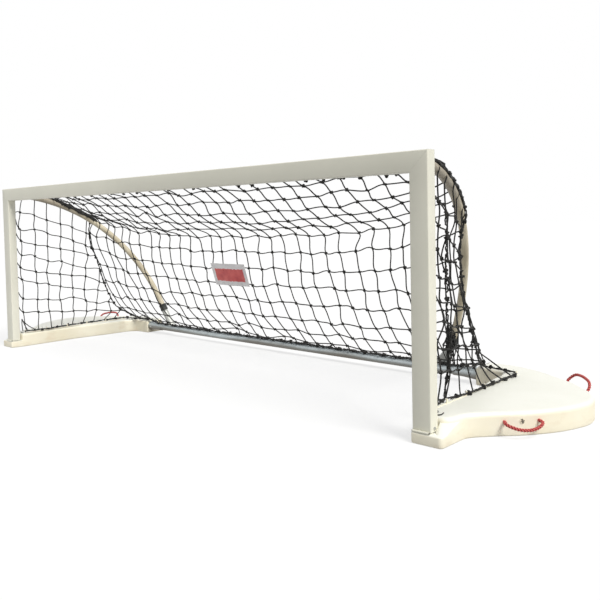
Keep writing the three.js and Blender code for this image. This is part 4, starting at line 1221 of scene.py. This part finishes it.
def sign_shape(columns=14, rows=6):
    """A thin waved sheet: each ring goes down its mouth side and up its rear side."""
    vertices = []
    for u in np.linspace(0, 1, columns + 1):
        mouth = []
        for v in np.linspace(0, 1, rows + 1):
            y, z = mix(SIGN_TOP, SIGN_BOTTOM, v)
            wave = SIGN_WAVE * math.sin(3 * math.pi * u) * (0.4 + v)
            mouth.append(at(mix(SIGN_LEFT, SIGN_RIGHT, u) + SIGN_LEAN * v, y + wave, z))
        vertices += mouth + [point + (0, SIGN_THICKNESS, 0) for point in reversed(mouth)]
    return capped(vertices, 2 * (rows + 1))


red_field = (SIGN_LEFT + 0.024, 0.441), (SIGN_RIGHT - 0.022, 0.513)
soft_piece("sign_panel", sign_shape(), sign_material("sign_sheet_print", *red_field), "sign", "sign_sheet")


# Carried-over nodes get their finishes
def dress(names, material):
    for name in names:
        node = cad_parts[name]
        node.data.materials.clear()
        node.data.materials.append(material)


def both(*names):
    return [f"{side}_{name}" for side in SIDES for name in names]


dress(both("sleeve_screw", "plug_screw", "arm_bracket", "arm_pin", "arm_eye"), steel)
dress(both("hinge_base_leaf", "hinge_post_leaf"), frame_paint)
dress(both("hinge_pin"), dull_steel)
dress(both("net_rail"), float_plastic)
dress(both("corner_key", "post_end_plug", "arm_end_plug", "post_net_track") + ["crossbar_net_track"],
      dark_plastic)
dress(both("drain_plug"), plug_plastic)


# Floor, surroundings and light
SUN_TOWARDS = Vector((0.64, -0.12, 0.757))
SUN_STRENGTH = 3.1
SUN_SOFTNESS = math.radians(25)
FILL_PLACE, FILL_AIM = Vector((-0.75, -1.7, 0.25)), Vector((-1.56, -0.4, 0.05))
FILL_WIDTH = 0.8
FILL_POWER = 4
SKY_STRENGTH = 0.4
FLOOR_SEEN = 0.95
FLOOR_LIT = 0.45
FLOOR_GLOW = 0.7
FLOOR_REACH = 60


def white_floor():
    """White where it is seen, with a soft shadow; greyer for the light it sends back."""
    surface = Surface("floor_white", 1, specular=0)
    seen = surface.seen()
    surface.look({"Base Color": surface.level(seen, FLOOR_LIT, FLOOR_SEEN)})
    share = surface.math("MULTIPLY", seen, FLOOR_GLOW)
    surface.show("Material Output", share, surface.shader, surface.add("Emission"))
    return surface.material


def make_floor():
    mesh = bpy.data.meshes.new("floor")
    corners = [(x * FLOOR_REACH, y * FLOOR_REACH, 0) for x, y in ((-1, -1), (1, -1), (1, 1), (-1, 1))]
    mesh.from_pydata(corners, [], [(0, 1, 2, 3)])
    mesh.materials.append(white_floor())
    new_object("floor", mesh)


def make_world():
    world = bpy.data.worlds.new("world")
    bpy.context.scene.world = world
    tree = Nodes(world)
    sky = tree.feed(tree.nodes["Background"], {"Color": (0.95, 0.97, 1), "Strength": SKY_STRENGTH})
    white = tree.add("Background", {"Color": (1, 1, 1)})
    tree.show("World Output", tree.seen(), sky, white)


def make_lamp(name, kind, power, towards, place=(0, 0, 0)):
    """A lamp whose light comes from the direction given."""
    lamp = bpy.data.lights.new(name, kind)
    lamp.energy = power
    obj = new_object(name, lamp)
    obj.location = place
    obj.rotation_euler = towards.to_track_quat("Z", "Y").to_euler()
    return lamp


make_floor()
make_world()
sun = make_lamp("sun", "SUN", SUN_STRENGTH, SUN_TOWARDS)
sun.angle = SUN_SOFTNESS
sun.color = (1, 0.985, 0.95)
fill = make_lamp("fill", "AREA", FILL_POWER, FILL_PLACE - FILL_AIM, FILL_PLACE)
fill.size = FILL_WIDTH

bpy.context.scene.view_settings.view_transform = "Standard"
